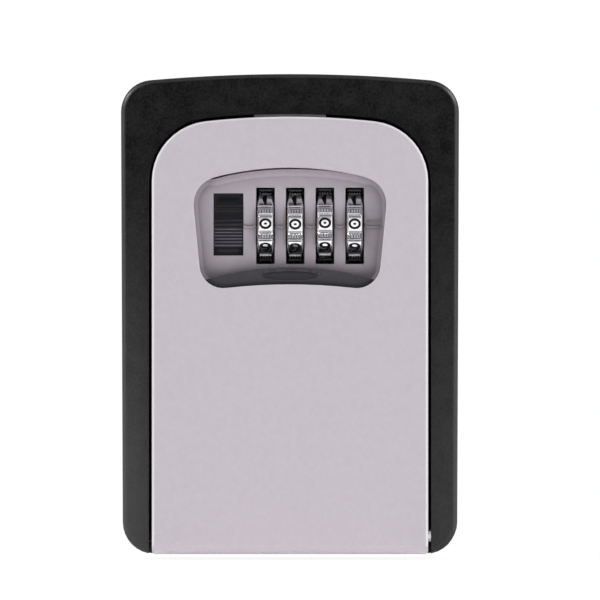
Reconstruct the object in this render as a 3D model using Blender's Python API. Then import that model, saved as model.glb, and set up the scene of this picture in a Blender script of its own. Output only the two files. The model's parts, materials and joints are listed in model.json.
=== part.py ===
"""Wall-mounted key lock box: a cast case, a drop-down door and a resettable four-dial lock.

+Z is up, +Y points into the wall and -Y towards the user. The origin is the middle of the back face.
Sizes are in millimetres, and MM turns them into metres where a mesh is made.
"""

import math

import bmesh
import bpy
from mathutils import Matrix, Vector

MM = 0.001

# Overall form
CASE_HALF_WIDTH = 42.3
CASE_HALF_HEIGHT = 60.0
CASE_FRONT = -36.5
CASE_CROWN = 400.0
CASE_CORNER = 8.0
CASE_TAPER = 0.5
CASE_WALL = 2.2
CASE_EDGE_ROUND = 1.6
BACK_WALL = 2.4
KEEPER_HALF_WIDTH = 10.0
KEEPER_FRONT = -31.7
KEEPER_BACK = -28.7
KEEPER_DEPTH = 3.7

DOOR_HALF_WIDTH = 34.5
DOOR_TOP = 49.3
DOOR_FRONT = -40.0
DOOR_RIM_BACK = -33.2
DOOR_CROWN = 190.0
DOOR_CORNER = 15.0
DOOR_WALL = 1.8
DOOR_EDGE_ROUND = 0.8
DOOR_GAP = 0.75
BOTTOM = -CASE_HALF_HEIGHT

# Tray inside the case, and the channel between tray and skirt that is open at the back
TRAY_FLOOR = BOTTOM + 2.4
TRAY_WALL = 2.0
TRAY_CORNER = 2.0
CHANNEL_FRONT = -33.4
CHANNEL_BOTTOM = -50.0
FLOOR_FRONT = -27.2

# Hinge
HINGE_Y = -34.0
HINGE_Z = -55.3
PIN_RADIUS = 1.6
PIN_BORE = 1.75
PIN_LEFT = -39.4
PIN_RIGHT = 39.6
PIN_END_GAP = 0.3
BARREL_RADIUS = 6.4
KNUCKLE_INNER = 22.0
TOE_ROUND = 3.0
FOOT_TOP = -50.0
TROUGH_RISE = 3.0

# Wall screws
WALL_HOLE_X = 22.0
WALL_HOLE_Z = (34.0, -40.0)
WALL_HOLE_RADIUS = 2.6
WALL_PAD_RADIUS = 5.0
WALL_PAD_HEIGHT = 1.0

# Window in the door: bowed edges as (half width, middle height, radius), corners as (x, z, radius)
WINDOW_TOP = (17.0, 36.55, 76.0)
WINDOW_LOW = (15.5, 7.4, 140.0)
WINDOW_TOP_CORNER = (24.6, 32.5, 7.0)
WINDOW_LOW_CORNER = (22.0, 5.6, 6.0)
WINDOW_STEPS = 8

# Dials on their spindle
DIAL_X = (-6.14, 1.30, 8.74, 16.18)
DIAL_Y = -26.15
DIAL_Z = 22.0
DIAL_RADIUS = 10.25
DIAL_HALF_WIDTH = 2.0
DIAL_STEPS = 10
DIAL_CHAMFER = 0.4
DIAL_TOOTH_TIP = 5.0
DIAL_TOOTH_ROOT = 6.2
DIAL_CLEAR_BORE = 6.4
DIAL_TOOTH_END = -0.6
SPINDLE_RADIUS = 2.0
SPINDLE_BORE = 2.15
SPINDLE_TAIL = 1.8
SPINDLE_HEAD = 1.0
SPINDLE_HEAD_GAP = 0.2
GROOVE_START = 0.6
GROOVE_WIDTH = 0.8
GROOVE_RADIUS = 1.45
CLIP_RADIUS = 3.6
CLIP_EYE = 1.7
CLIP_MOUTH = 3.0
CLIP_SIDE_GAP = 0.15

# Hubs inside the dials
HUB_LEFT = -3.9
HUB_RIGHT = 3.4
HUB_SLEEVE = 4.8
HUB_SHOULDER = -0.6
HUB_NECK = 2.9
HUB_DISC = 6.0
HUB_DISC_LEFT = 2.25
HUB_LUGS = 5
LUG_LEFT = -1.9
LUG_RIGHT = -0.75
LUG_TIP = 5.95
LUG_WIDTH = 1.3
NOTCH_WIDTH = 1.6
GATE_FLOOR = 3.0
GATE_WIDTH = 2.6
RESET_TRAVEL = 1.6
HUB_SPRING_RADIUS = 2.75
HUB_SPRING_WIRE = 0.25
HUB_SPRING_TURNS = 3.0
SPRING_END_GAP = 0.15

# Detent spring
LEAF_LEFT = -9.0
LEAF_RIGHT = 19.5
LEAF_FRONT = -20.0
LEAF_BACK = -14.1
LEAF_GAP = 0.2
LEAF_THICKNESS = 0.4
FINGER_HALF_WIDTH = 1.4
FINGER_CREST_Y = -23.0
FINGER_CREST = 2.9
FINGER_END_Y = -25.6
FINGER_END = 1.7

# Dial housing: the plate behind the window, and the box behind it that holds the lock
PLATE_FRONT = -34.0
PLATE_BACK = -32.5
PLATE_HALF_WIDTH = 32.0
PLATE_TOP = 47.0
PLATE_BOTTOM = -27.0
PLATE_CROWN = DOOR_CROWN - 3.0
PLATE_CORNER = 12.5
PLATE_LOW_CORNER = 3.0
BOX_HALF_WIDTH = 25.0
BOX_BOTTOM = 6.8
BOX_TOP = 44.1
BOX_WALL = 1.6
BOX_BACK = -14.0
SLOT_HALF_WIDTH = 2.315
SLOT_BOTTOM = 12.5
SLOT_TOP = 31.6
SCREW_POST_X = 21.9
SCREW_POST_Z = (9.9, 41.0)
SCREW_POST_RADIUS = 2.0
HOUSING_SCREW_X = 29.9
HOUSING_SCREW_Z = (30.0, -22.0)
HOUSING_POST_RADIUS = 2.2
PILOT_RADIUS = 1.0
PILOT_START = 2.2
POST_GAP = 0.2
SHANK_RADIUS = 0.85
CROSS_ARM = 0.6
CROSS_WIDTH = 0.15
CROSS_FLOOR = 0.4
COVER_SCREW_REACH = 5.5
HOUSING_SCREW_START = 2.6
SCREW_HEAD_RADIUS = 1.9
SCREW_HEAD_HEIGHT = 1.2
SCREW_SEAT_GAP = 0.15
SCREW_HOLE_RADIUS = 1.1
RAIL_INNER = 24.7
RAIL_LIP = 26.6
RAIL_OUTER = 27.4
RAIL_TOP = 38.5
RAIL_BOTTOM = PLATE_BOTTOM + 1.0
RAIL_GAP = 0.3
LIP_FRONT = -38.0
RIDGE_HEIGHT = 0.25
RIDGE_WIDTH = 0.6
PILOT_DEPTH = 6.5
ROOT = 0.5  # how far an added feature sinks into what carries it

# Shutter, in its lowered position
SHUTTER_HALF_WIDTH = 26.3
SHUTTER_TOP = 11.75
SHUTTER_HEIGHT = 32.45
SHUTTER_CROWN = 72.5
SHUTTER_FRONT = -37.9
SHUTTER_BACK = -36.7
SHUTTER_CORNER = 3.0
SHUTTER_LOW_CORNER = 1.5
THUMB_RECESS = (7.2, 0.7, 1.15)
THUMB_RECESS_DROP = 2.2

# Opening slider and latch, with the bolt out
LATCH_TRAVEL = 2.0
SLIDER_X = -15.4
SLIDER_SLOT_HALF_WIDTH = 3.72
SLIDER_SLOT_BOTTOM = 14.63
SLIDER_SLOT_TOP = 30.17
SLIDER_CLEARANCE = 0.2
SLIDER_FRONT = -34.1
SLIDER_PLATE_FRONT = -32.2
SLIDER_PLATE_BACK = -30.9
SLIDER_SCREW_Z = 27.8
SLIDER_SCREW_TIP = -32.3
SLIDER_PILOT_END = -32.6
SLIDER_HEAD_RADIUS = 1.7
SLIDER_HEAD_HEIGHT = 0.8
SLIDER_HEAD_GAP = 0.1
SLIDER_LAP = 0.8
RIB_SLOPE = 0.1
RIB_TOP = 0.42
FINE_RIBS = 6
FINE_PITCH = 0.8
FINE_DROP = 0.25
BOLD_PITCH = 1.0
PAD_VALLEY = 0.7
PAD_HOLLOW = 1.2
LOW_BOLD_RIBS = 5.4
HOLLOW_START = 7.1
HIGH_BOLD_RIBS = 9.0
LATCH_FRONT = -31.2
LATCH_BACK = -29.2
ARM_FRONT = -30.6
BOLT_HALF_WIDTH = 9.0
BOLT_TOP = 51.7
BOLT_SLOPE_DROP = 1.8
BOLT_NOSE = 0.6
CROSSBAR_BOTTOM = 35.9
CROSSBAR_TOP = 38.1
CROSSBAR_BACK = -24.9
CROSSBAR_HALF_WIDTH = 23.0
ARM_HALF_WIDTH = 4.5
ARM_BOTTOM = 13.9
FENCE_LEFT = 2.35
FENCE_RIGHT = 3.3
FENCE_TIP = DIAL_Z + 6.3
FENCE_HALF_WIDTH = 1.0
LATCH_SPRING_X = 21.8
LATCH_SPRING_Y = -28.9
LATCH_SPRING_RADIUS = 1.1
LATCH_SPRING_WIRE = 0.2
LATCH_SPRING_TURNS = 4.0
LEDGE_TOP = 30.0
LEDGE_THICKNESS = 1.4
LEDGE_INNER = 20.3
LEDGE_BACK = LATCH_SPRING_Y + 1.8
BOLT_SLOT_HALF_WIDTH = 9.5
BOLT_SLOT_FRONT = -31.6
BOLT_SLOT_BACK = -28.8

# Lock cover and reset lever behind the dials
COVER_FRONT = -13.8
COVER_BACK = -12.6
LEVER_FRONT = -15.4
LEVER_BACK = -14.2
LEVER_KNOB_BACK = -10.8
LEVER_RIGHT = 6.0
LEVER_HALF_HEIGHT = 5.0
TINE_FRONT = -28.05
TINE_THICKNESS = 1.6
TINE_HEIGHT = 2.4
TINE_OFFSET = 2.4
TINE_GAP = 0.15
KNOB_LEFT = -3.0
KNOB_RIGHT = 1.0
KNOB_HALF_HEIGHT = 1.5
KNOB_GAP = 0.4
COVER_CORNER = 2.0

ROUND_STEPS = 24
SMALL_STEPS = 12
POST_STEPS = 16
WHEEL_STEPS = 40
CORNER_STEPS = 8
CROWN_STEPS = 10
LONG = 1.0  # how far a cutter runs past the wall it cuts
SIDE_FORM_OVERLAP = 0.02  # keeps two flush faces from coinciding


# ---------------------------------------------------------------- scene and materials


def clear_scene():
    for obj in list(bpy.data.objects):
        bpy.data.objects.remove(obj, do_unlink=True)


def new_collection(name):
    collection = bpy.data.collections.new(name)
    bpy.context.scene.collection.children.link(collection)
    return collection


def new_material(name, colour, roughness, metallic):
    material = bpy.data.materials.new(name)
    material.use_nodes = True
    shader = material.node_tree.nodes["Principled BSDF"]
    shader.inputs["Base Color"].default_value = (*colour, 1.0)
    shader.inputs["Roughness"].default_value = roughness
    shader.inputs["Metallic"].default_value = metallic
    return material


clear_scene()
PARTS = new_collection("key_lock_box")
BLACK_PAINT = new_material("black_paint", (0.03, 0.03, 0.03), 0.5, 0.0)
GREY_PAINT = new_material("grey_paint", (0.55, 0.52, 0.54), 0.4, 0.2)
CAST_ZINC = new_material("cast_zinc", (0.42, 0.42, 0.43), 0.5, 0.8)
CHROME = new_material("chrome", (0.75, 0.75, 0.77), 0.15, 1.0)
STEEL = new_material("steel", (0.6, 0.6, 0.62), 0.3, 1.0)
BLACK_PLASTIC = new_material("black_plastic", (0.05, 0.05, 0.06), 0.45, 0.0)
DARK_PLASTIC = new_material("dark_plastic", (0.1, 0.1, 0.11), 0.4, 0.0)
BRASS = new_material("brass", (0.7, 0.55, 0.25), 0.3, 1.0)


# ---------------------------------------------------------------- outlines


def arc(centre, radius, start, end, steps):
    """Points from the angle start to the angle end, in degrees, both included."""
    angles = [math.radians(start + (end - start) * i / steps) for i in range(steps + 1)]
    return [(centre[0] + radius * math.cos(a), centre[1] + radius * math.sin(a)) for a in angles]


def crowned_outline(half_width, bottom, top, crown, top_round, bottom_round, taper=0.0):
    """A plate's outline: upright sides, rounded corners and a top edge that bows up with radius crown.

    taper is how far each side leans in by the bottom.
    """
    crown_centre = top - crown
    corner_x = half_width - top_round
    corner_z = crown_centre + math.sqrt((crown - top_round) ** 2 - corner_x**2)
    meet = math.degrees(math.atan2(corner_z - crown_centre, corner_x))
    right = [(half_width, bottom)]
    if bottom_round:
        low_centre = (half_width - bottom_round, bottom + bottom_round)
        right = arc(low_centre, bottom_round, -90, 0, CORNER_STEPS)
    right += arc((corner_x, corner_z), top_round, 0, meet, CORNER_STEPS + 2)
    right += arc((0, crown_centre), crown, meet, 90, CROWN_STEPS)[1:-1]
    left = [(-x, z) for x, z in reversed(right)]
    outline = right + [(0.0, top)] + left
    lean = taper / half_width / (top - bottom)
    return [(x * (1 - lean * (top - z)), z) for x, z in outline]


def rounded_outline(corners):
    """The outline through corners (x, z, radius), with each corner rounded by its radius."""
    points = []
    for i, (x, z, radius) in enumerate(corners):
        here = Vector((x, z))
        if not radius:
            points.append((x, z))
            continue
        back = (Vector(corners[i - 1][:2]) - here).normalized()
        ahead = (Vector(corners[(i + 1) % len(corners)][:2]) - here).normalized()
        half = back.angle(ahead) / 2
        centre = here + (back + ahead).normalized() * (radius / math.sin(half))
        first = here + back * (radius / math.tan(half)) - centre
        last = here + ahead * (radius / math.tan(half)) - centre
        start = math.degrees(math.atan2(first.y, first.x))
        turn = (math.degrees(math.atan2(last.y, last.x)) - start + 180) % 360 - 180
        points += arc(centre, radius, start, start + turn, CORNER_STEPS)
    return points


def bowed_edge(half_width, middle_z, radius, steps):
    """Points (x, z) from -half_width to half_width on an edge whose middle is its highest point."""
    half_angle = math.degrees(math.asin(half_width / radius))
    return arc((0, middle_z - radius), radius, 90 + half_angle, 90 - half_angle, steps)


def window_outline():
    """The door's window: a bowed top edge, sides that lean in and a bottom edge with a raised middle."""
    top_edge = [(x, z, 0) for x, z in bowed_edge(*WINDOW_TOP, WINDOW_STEPS)]
    bottom_edge = [(-x, z, 0) for x, z in bowed_edge(*WINDOW_LOW, WINDOW_STEPS)]
    right = [WINDOW_TOP_CORNER, WINDOW_LOW_CORNER]
    left = [(-x, z, radius) for x, z, radius in reversed(right)]
    return rounded_outline(top_edge + right + bottom_edge + left)


# ---------------------------------------------------------------- solids


def new_object(name, shape):
    bmesh.ops.remove_doubles(shape, verts=shape.verts, dist=1e-6)
    bmesh.ops.recalc_face_normals(shape, faces=shape.faces)
    mesh = bpy.data.meshes.new(name)
    shape.to_mesh(mesh)
    shape.free()
    obj = bpy.data.objects.new(name, mesh)
    PARTS.objects.link(obj)
    return obj


def block(name, low, high):
    """A box between two corners."""
    shape = bmesh.new()
    bmesh.ops.create_cube(shape, size=1.0)
    low, high = Vector(low) * MM, Vector(high) * MM
    bmesh.ops.scale(shape, vec=high - low, verts=shape.verts)
    bmesh.ops.translate(shape, vec=(low + high) / 2, verts=shape.verts)
    return new_object(name, shape)


def rod(name, start, end, radius, steps=ROUND_STEPS):
    """A cylinder between two points."""
    shape = bmesh.new()
    start, end = Vector(start) * MM, Vector(end) * MM
    along = end - start
    size = {"radius1": radius * MM, "radius2": radius * MM, "depth": along.length}
    bmesh.ops.create_cone(shape, cap_ends=True, segments=steps, **size)
    turn = along.to_track_quat("Z", "Y").to_matrix().to_4x4()
    place = Matrix.Translation((start + end) / 2) @ turn
    bmesh.ops.transform(shape, matrix=place, verts=shape.verts)
    return new_object(name, shape)


def prism(name, outline, axis, low, high, end_round=0.0, round_steps=3, both_ends=False):
    """An outline carried from low to high along x or y. end_round rounds the edges of its low end."""

    def point(a, b, along):
        return Vector((along, a, b) if axis == "x" else (a, along, b)) * MM

    shape = bmesh.new()
    first = shape.faces.new([shape.verts.new(point(a, b, low)) for a, b in outline])
    made = bmesh.ops.extrude_face_region(shape, geom=[first], use_keep_orig=True)
    moved = [v for v in made["geom"] if isinstance(v, bmesh.types.BMVert)]
    bmesh.ops.translate(shape, vec=point(0, 0, high - low), verts=moved)
    bmesh.ops.recalc_face_normals(shape, faces=shape.faces)
    if end_round:
        last = [f for f in made["geom"] if isinstance(f, bmesh.types.BMFace)]
        ends = [first, *last] if both_ends else [first]
        edges = [edge for face in ends for edge in face.edges]
        rounding = {"offset": end_round * MM, "segments": round_steps, "profile": 0.5}
        bmesh.ops.bevel(shape, geom=edges, affect="EDGES", **rounding)
    return new_object(name, shape)


def turned(name, profile, centre, steps):
    """A closed profile of (x, radius) turned about the line through centre along x."""
    shape = bmesh.new()
    centre = Vector(centre) * MM
    verts = [shape.verts.new(centre + Vector((x, 0, r)) * MM) for x, r in profile]
    edges = [shape.edges.new((verts[i - 1], verts[i])) for i in range(len(verts))]
    spin = {"cent": centre, "axis": (1, 0, 0), "angle": 2 * math.pi, "steps": steps}
    bmesh.ops.spin(shape, geom=verts + edges, use_merge=True, **spin)
    return new_object(name, shape)


def coil(name, start, end, mean_radius, wire_radius, turns, steps_per_turn=10):
    """A compression spring between two points, along x or z."""
    start, end = Vector(start) * MM, Vector(end) * MM
    along = end - start
    side = Vector((0, 1, 0))
    up = along.normalized().cross(side)
    count = int(turns * steps_per_turn)
    data = bpy.data.curves.new(name, "CURVE")
    data.dimensions = "3D"
    data.bevel_depth = wire_radius * MM
    data.bevel_resolution = 1
    data.use_fill_caps = True
    spline = data.splines.new("POLY")
    spline.points.add(count)
    inset = along.normalized() * wire_radius * MM
    for i, point in enumerate(spline.points):
        share = i / count
        angle = 2 * math.pi * turns * share
        reach = (side * math.cos(angle) + up * math.sin(angle)) * mean_radius * MM
        point.co = (*(start + inset + (along - 2 * inset) * share + reach), 1.0)
    curve = bpy.data.objects.new(name + "_path", data)
    PARTS.objects.link(curve)
    bpy.context.view_layer.update()
    graph = bpy.context.evaluated_depsgraph_get()
    shape = bmesh.new()
    shape.from_mesh(curve.evaluated_get(graph).to_mesh())
    bpy.data.objects.remove(curve, do_unlink=True)
    return new_object(name, shape)


def combine(target, tools, operation):
    """Joins tools to target, or cuts them from it, and removes them."""
    for tool in tools:
        modifier = target.modifiers.new(operation.lower(), "BOOLEAN")
        modifier.operation = operation
        modifier.solver = "EXACT"
        modifier.object = tool
    bpy.context.view_layer.update()
    graph = bpy.context.evaluated_depsgraph_get()
    mesh = bpy.data.meshes.new_from_object(target.evaluated_get(graph))
    target.modifiers.clear()
    target.data = mesh
    for tool in tools:
        bpy.data.objects.remove(tool, do_unlink=True)
    return target


def join(target, *tools):
    return combine(target, tools, "UNION")


def cut(target, *tools):
    return combine(target, tools, "DIFFERENCE")


def spokes(name, count, x_low, x_high, r_low, r_high, width, centre):
    """Equal bars standing out from a line along x, as one mesh of separate bars."""
    shape = bmesh.new()
    for i in range(count):
        bar = bmesh.ops.create_cube(shape, size=1.0)["verts"]
        size = Vector((x_high - x_low, width, r_high - r_low)) * MM
        middle = Vector(((x_low + x_high) / 2, 0, (r_low + r_high) / 2)) * MM
        bmesh.ops.scale(shape, vec=size, verts=bar)
        bmesh.ops.translate(shape, vec=middle, verts=bar)
        turn = Matrix.Rotation(2 * math.pi * i / count, 3, "X")
        bmesh.ops.rotate(shape, matrix=turn, verts=bar)
    bmesh.ops.translate(shape, vec=Vector(centre) * MM, verts=shape.verts)
    return new_object(name, shape)


def finish(obj, material, pivot=None, crease=35.0):
    """Gives a part its material and smooth round faces, and hangs it on its pivot."""
    obj.data.materials.clear()
    obj.data.materials.append(material)
    obj.data.shade_smooth()
    obj.data.set_sharp_from_angle(angle=math.radians(crease))
    if pivot is not None:
        obj.data.transform(Matrix.Translation(-pivot["point"]))
        obj.parent = pivot["empty"]
    return obj


def new_pivot(name, point, parent=None):
    """An empty on a joint's axis. Parts and other pivots hang on it."""
    point = Vector(point) * MM
    empty = bpy.data.objects.new(name, None)
    empty.empty_display_size = 5 * MM
    PARTS.objects.link(empty)
    empty.location = point
    if parent is not None:
        empty.parent = parent["empty"]
        empty.location = point - parent["point"]
    return {"empty": empty, "point": point}


# ---------------------------------------------------------------- case


def case_outline(inset):
    """The case's outline, moved inwards by inset."""
    return crowned_outline(
        CASE_HALF_WIDTH - inset,
        BOTTOM + inset,
        CASE_HALF_HEIGHT - inset,
        CASE_CROWN - inset,
        CASE_CORNER - inset,
        CASE_CORNER - inset,
        CASE_TAPER,
    )


def door_outline(outset, bottom, bottom_round=0.0):
    """The door's outline, moved outwards by outset."""
    return crowned_outline(
        DOOR_HALF_WIDTH + outset,
        bottom,
        DOOR_TOP + outset,
        DOOR_CROWN + outset,
        DOOR_CORNER + outset,
        bottom_round,
    )


def make_case():
    case = prism("case_body", case_outline(0), "y", CASE_FRONT, 0, CASE_EDGE_ROUND, 4)
    tray_half = DOOR_HALF_WIDTH + DOOR_GAP
    front = CASE_FRONT - LONG
    tray = prism("tray", door_outline(DOOR_GAP, TRAY_FLOOR, TRAY_CORNER), "y", front, -BACK_WALL)
    toe_low = (-tray_half, front, BOTTOM - LONG)
    toe_room = block("toe_room", toe_low, (tray_half, FLOOR_FRONT, CHANNEL_BOTTOM))
    channel = prism("channel", case_outline(CASE_WALL), "y", CHANNEL_FRONT, LONG)
    kept = door_outline(DOOR_GAP + TRAY_WALL, BOTTOM - LONG)
    core = prism("core", kept, "y", CHANNEL_FRONT - LONG, 2 * LONG)
    below = (CASE_HALF_WIDTH + LONG, 2 * LONG, CHANNEL_BOTTOM)
    foot = block("foot", (-CASE_HALF_WIDTH - LONG, CASE_FRONT, BOTTOM - LONG), below)
    cut(channel, core, foot)
    cut(case, tray, toe_room, channel)
    keeper_low = (-KEEPER_HALF_WIDTH, KEEPER_FRONT, DOOR_TOP - LONG)
    keeper_high = (KEEPER_HALF_WIDTH, KEEPER_BACK, DOOR_TOP + KEEPER_DEPTH)
    keeper = block("keeper_slot", keeper_low, keeper_high)
    pads, holes = [], []
    for x in (-WALL_HOLE_X, WALL_HOLE_X):
        for z in WALL_HOLE_Z:
            inner = -BACK_WALL - WALL_PAD_HEIGHT
            pads.append(rod("pad", (x, inner, z), (x, -LONG, z), WALL_PAD_RADIUS))
            holes.append(rod("hole", (x, inner - LONG, z), (x, LONG, z), WALL_HOLE_RADIUS))
    pin_right = (CASE_HALF_WIDTH + LONG, HINGE_Y, HINGE_Z)
    right_bore = rod("bore", (tray_half - LONG, HINGE_Y, HINGE_Z), pin_right, PIN_BORE)
    pin_left = (PIN_LEFT - PIN_END_GAP, HINGE_Y, HINGE_Z)
    left_bore = rod("bore", (-tray_half + LONG, HINGE_Y, HINGE_Z), pin_left, PIN_BORE)
    join(case, *pads)
    cut(case, keeper, right_bore, left_bore, *holes)
    finish(case, BLACK_PAINT)
    pin = rod("hinge_pin", (PIN_LEFT, HINGE_Y, HINGE_Z), (PIN_RIGHT, HINGE_Y, HINGE_Z), PIN_RADIUS)
    finish(pin, STEEL)


# ---------------------------------------------------------------- door shell and shutter


def toe_profile(wall):
    """The door's foot from its side, (y, z): a rounded toe, then the barrel about the hinge pin."""
    front, low = DOOR_FRONT + wall, BOTTOM + wall
    barrel = BARREL_RADIUS - wall
    toe_round = TOE_ROUND - wall
    toe = arc((front + toe_round, low + toe_round), toe_round, 180, 270, CORNER_STEPS)
    meet = math.degrees(math.asin((low - HINGE_Z) / barrel))
    back = arc((HINGE_Y, HINGE_Z), barrel, meet, 0, CORNER_STEPS)
    return toe + back


def door_side_form():
    """The door's side view as a solid: a thin shell that thickens into the foot about the hinge pin."""
    barrel_top = (HINGE_Y + BARREL_RADIUS, HINGE_Z + 1.0)
    shell_back = [(DOOR_RIM_BACK, FOOT_TOP), (DOOR_RIM_BACK, DOOR_TOP + LONG)]
    front = [(DOOR_FRONT - LONG, DOOR_TOP + LONG), (DOOR_FRONT - LONG, FOOT_TOP)]
    profile = [*toe_profile(0), barrel_top, *shell_back, *front]
    side = DOOR_HALF_WIDTH + SIDE_FORM_OVERLAP
    return prism("side_form", profile, "x", -side, side, DOOR_EDGE_ROUND, both_ends=True)


def make_door(pivot):
    deep = HINGE_Y + BARREL_RADIUS + LONG
    outline = door_outline(0, BOTTOM - LONG)
    cover = prism("front_cover", outline, "y", DOOR_FRONT, deep, DOOR_EDGE_ROUND)
    combine(cover, [door_side_form()], "INTERSECT")
    inside = door_outline(-DOOR_WALL, FOOT_TOP)
    cut(cover, prism("pocket", inside, "y", DOOR_FRONT + DOOR_WALL, deep))
    posts = []
    for x in (-HOUSING_SCREW_X, HOUSING_SCREW_X):
        for z in HOUSING_SCREW_Z:
            start = (x, DOOR_FRONT + DOOR_WALL / 2, z)
            posts.append(rod("post", start, (x, PLATE_FRONT - POST_GAP, z), HOUSING_POST_RADIUS))
    join(cover, *posts)
    hollow = toe_profile(DOOR_WALL)
    top = FOOT_TOP + TROUGH_RISE
    hollow = [(hollow[0][0], top), *hollow, (hollow[-1][0], top)]
    trough = prism("trough", hollow, "x", -KNUCKLE_INNER, KNUCKLE_INNER)
    window = prism("window", window_outline(), "y", DOOR_FRONT - LONG, DOOR_RIM_BACK)
    reach = DOOR_HALF_WIDTH + LONG
    bore = rod("bore", (-reach, HINGE_Y, HINGE_Z), (reach, HINGE_Y, HINGE_Z), PIN_BORE)
    pilots = []
    for x in (-HOUSING_SCREW_X, HOUSING_SCREW_X):
        for z in HOUSING_SCREW_Z:
            start = (x, DOOR_FRONT + PILOT_START, z)
            pilots.append(rod("pilot", start, (x, PLATE_FRONT, z), PILOT_RADIUS, SMALL_STEPS))
    cut(cover, trough, window, bore, *pilots)
    finish(cover, GREY_PAINT, pivot)


def make_shutter(pivot):
    bottom = SHUTTER_TOP - SHUTTER_HEIGHT
    corners = (SHUTTER_CORNER, SHUTTER_LOW_CORNER)
    outline = crowned_outline(SHUTTER_HALF_WIDTH, bottom, SHUTTER_TOP, SHUTTER_CROWN, *corners)
    shutter = prism("shutter", outline, "y", SHUTTER_FRONT, SHUTTER_BACK)
    shape = bmesh.new()
    bmesh.ops.create_uvsphere(shape, u_segments=24, v_segments=10, radius=1.0)
    bmesh.ops.scale(shape, vec=Vector(THUMB_RECESS) * MM, verts=shape.verts)
    centre = Vector((0, SHUTTER_FRONT, SHUTTER_TOP - THUMB_RECESS_DROP)) * MM
    bmesh.ops.translate(shape, vec=centre, verts=shape.verts)
    cut(shutter, new_object("thumb_recess", shape))
    finish(shutter, DARK_PLASTIC, pivot)


# ---------------------------------------------------------------- dial housing


def make_housing(pivot):
    corners = (PLATE_CORNER, PLATE_LOW_CORNER)
    plate_outline = crowned_outline(PLATE_HALF_WIDTH, PLATE_BOTTOM, PLATE_TOP, PLATE_CROWN, *corners)
    housing = prism("dial_housing", plate_outline, "y", PLATE_FRONT, PLATE_BACK)
    wide, low, high = BOX_HALF_WIDTH, BOX_BOTTOM, BOX_TOP
    seam = (PLATE_FRONT + PLATE_BACK) / 2
    box = block("box", (-wide, seam, low), (wide, BOX_BACK, high))
    inner = wide - BOX_WALL
    room_low = (-inner, PLATE_BACK, low + BOX_WALL)
    room = block("room", room_low, (inner, BOX_BACK + LONG, high - BOX_WALL))
    additions = []
    for side in (-1, 1):
        x0, x1 = sorted((side * RAIL_INNER, side * RAIL_OUTER))
        rail_low = (x0, SHUTTER_BACK + RAIL_GAP, RAIL_BOTTOM)
        additions.append(block("rail", rail_low, (x1, seam, RAIL_TOP)))
        x0, x1 = sorted((side * RAIL_LIP, side * RAIL_OUTER))
        lip_low = (x0, LIP_FRONT, RAIL_BOTTOM)
        additions.append(block("lip", lip_low, (x1, PLATE_FRONT, RAIL_TOP)))
        x0, x1 = sorted((side * LEDGE_INNER, side * (inner + ROOT)))
        ledge_low = (x0, PLATE_BACK - ROOT, LEDGE_TOP - LEDGE_THICKNESS)
        additions.append(block("ledge", ledge_low, (x1, LEDGE_BACK, LEDGE_TOP)))
        for z in SCREW_POST_Z:
            start, end = (side * SCREW_POST_X, PLATE_BACK - ROOT, z), (side * SCREW_POST_X, BOX_BACK, z)
            additions.append(rod("post", start, end, SCREW_POST_RADIUS, POST_STEPS))
    ridge_low = (SLIDER_X, PLATE_FRONT - RIDGE_HEIGHT, DIAL_Z - RIDGE_WIDTH)
    additions.append(block("ridge", ridge_low, (RAIL_INNER + ROOT, PLATE_FRONT + ROOT, DIAL_Z)))
    cut(box, room)
    join(housing, box, *additions)
    front, back = PLATE_FRONT - LONG, PLATE_BACK + LONG
    cutters = []
    for x in DIAL_X:
        slot_low = (x - SLOT_HALF_WIDTH, front, SLOT_BOTTOM)
        cutters.append(block("slot", slot_low, (x + SLOT_HALF_WIDTH, back, SLOT_TOP)))
    slider_low = (SLIDER_X - SLIDER_SLOT_HALF_WIDTH, front, SLIDER_SLOT_BOTTOM)
    slider_high = (SLIDER_X + SLIDER_SLOT_HALF_WIDTH, back, SLIDER_SLOT_TOP)
    cutters.append(block("slot", slider_low, slider_high))
    bolt_low = (-BOLT_SLOT_HALF_WIDTH, BOLT_SLOT_FRONT, high - BOX_WALL - LONG)
    cutters.append(block("bolt_slot", bolt_low, (BOLT_SLOT_HALF_WIDTH, BOLT_SLOT_BACK, high + LONG)))
    axle_reach = wide + LONG
    start, end = (-axle_reach, DIAL_Y, DIAL_Z), (axle_reach, DIAL_Y, DIAL_Z)
    cutters.append(rod("axle_hole", start, end, SPINDLE_BORE))
    for x in (-1, 1):
        for z in SCREW_POST_Z:
            start = (x * SCREW_POST_X, BOX_BACK - PILOT_DEPTH, z)
            end = (x * SCREW_POST_X, BOX_BACK + LONG, z)
            cutters.append(rod("pilot", start, end, PILOT_RADIUS, SMALL_STEPS))
        for z in HOUSING_SCREW_Z:
            start, end = (x * HOUSING_SCREW_X, front, z), (x * HOUSING_SCREW_X, back, z)
            cutters.append(rod("screw_hole", start, end, SCREW_HOLE_RADIUS, SMALL_STEPS))
    cut(housing, *cutters)
    finish(housing, GREY_PAINT, pivot)


def screw(name, head_face, tip, x, z, head_radius, head_height, material, pivot):
    """A cross-head screw along y: its head rests at head_face and its shank runs forwards to tip."""
    head = rod(name, (x, head_face, z), (x, head_face + head_height, z), head_radius, POST_STEPS)
    in_head = (x, head_face + head_height / 2, z)
    shank = rod("shank", (x, tip, z), in_head, SHANK_RADIUS, SMALL_STEPS)
    join(head, shank)
    deep, top = head_face + head_height * CROSS_FLOOR, head_face + head_height + LONG
    arm, half = head_radius * CROSS_ARM, head_radius * CROSS_WIDTH
    cross = block("cross", (x - arm, deep, z - half), (x + arm, top, z + half))
    upright = block("cross", (x - half, deep, z - arm), (x + half, top, z + arm))
    cut(head, cross, upright)
    finish(head, material, pivot)


# ---------------------------------------------------------------- dials, hubs and spindle


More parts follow.
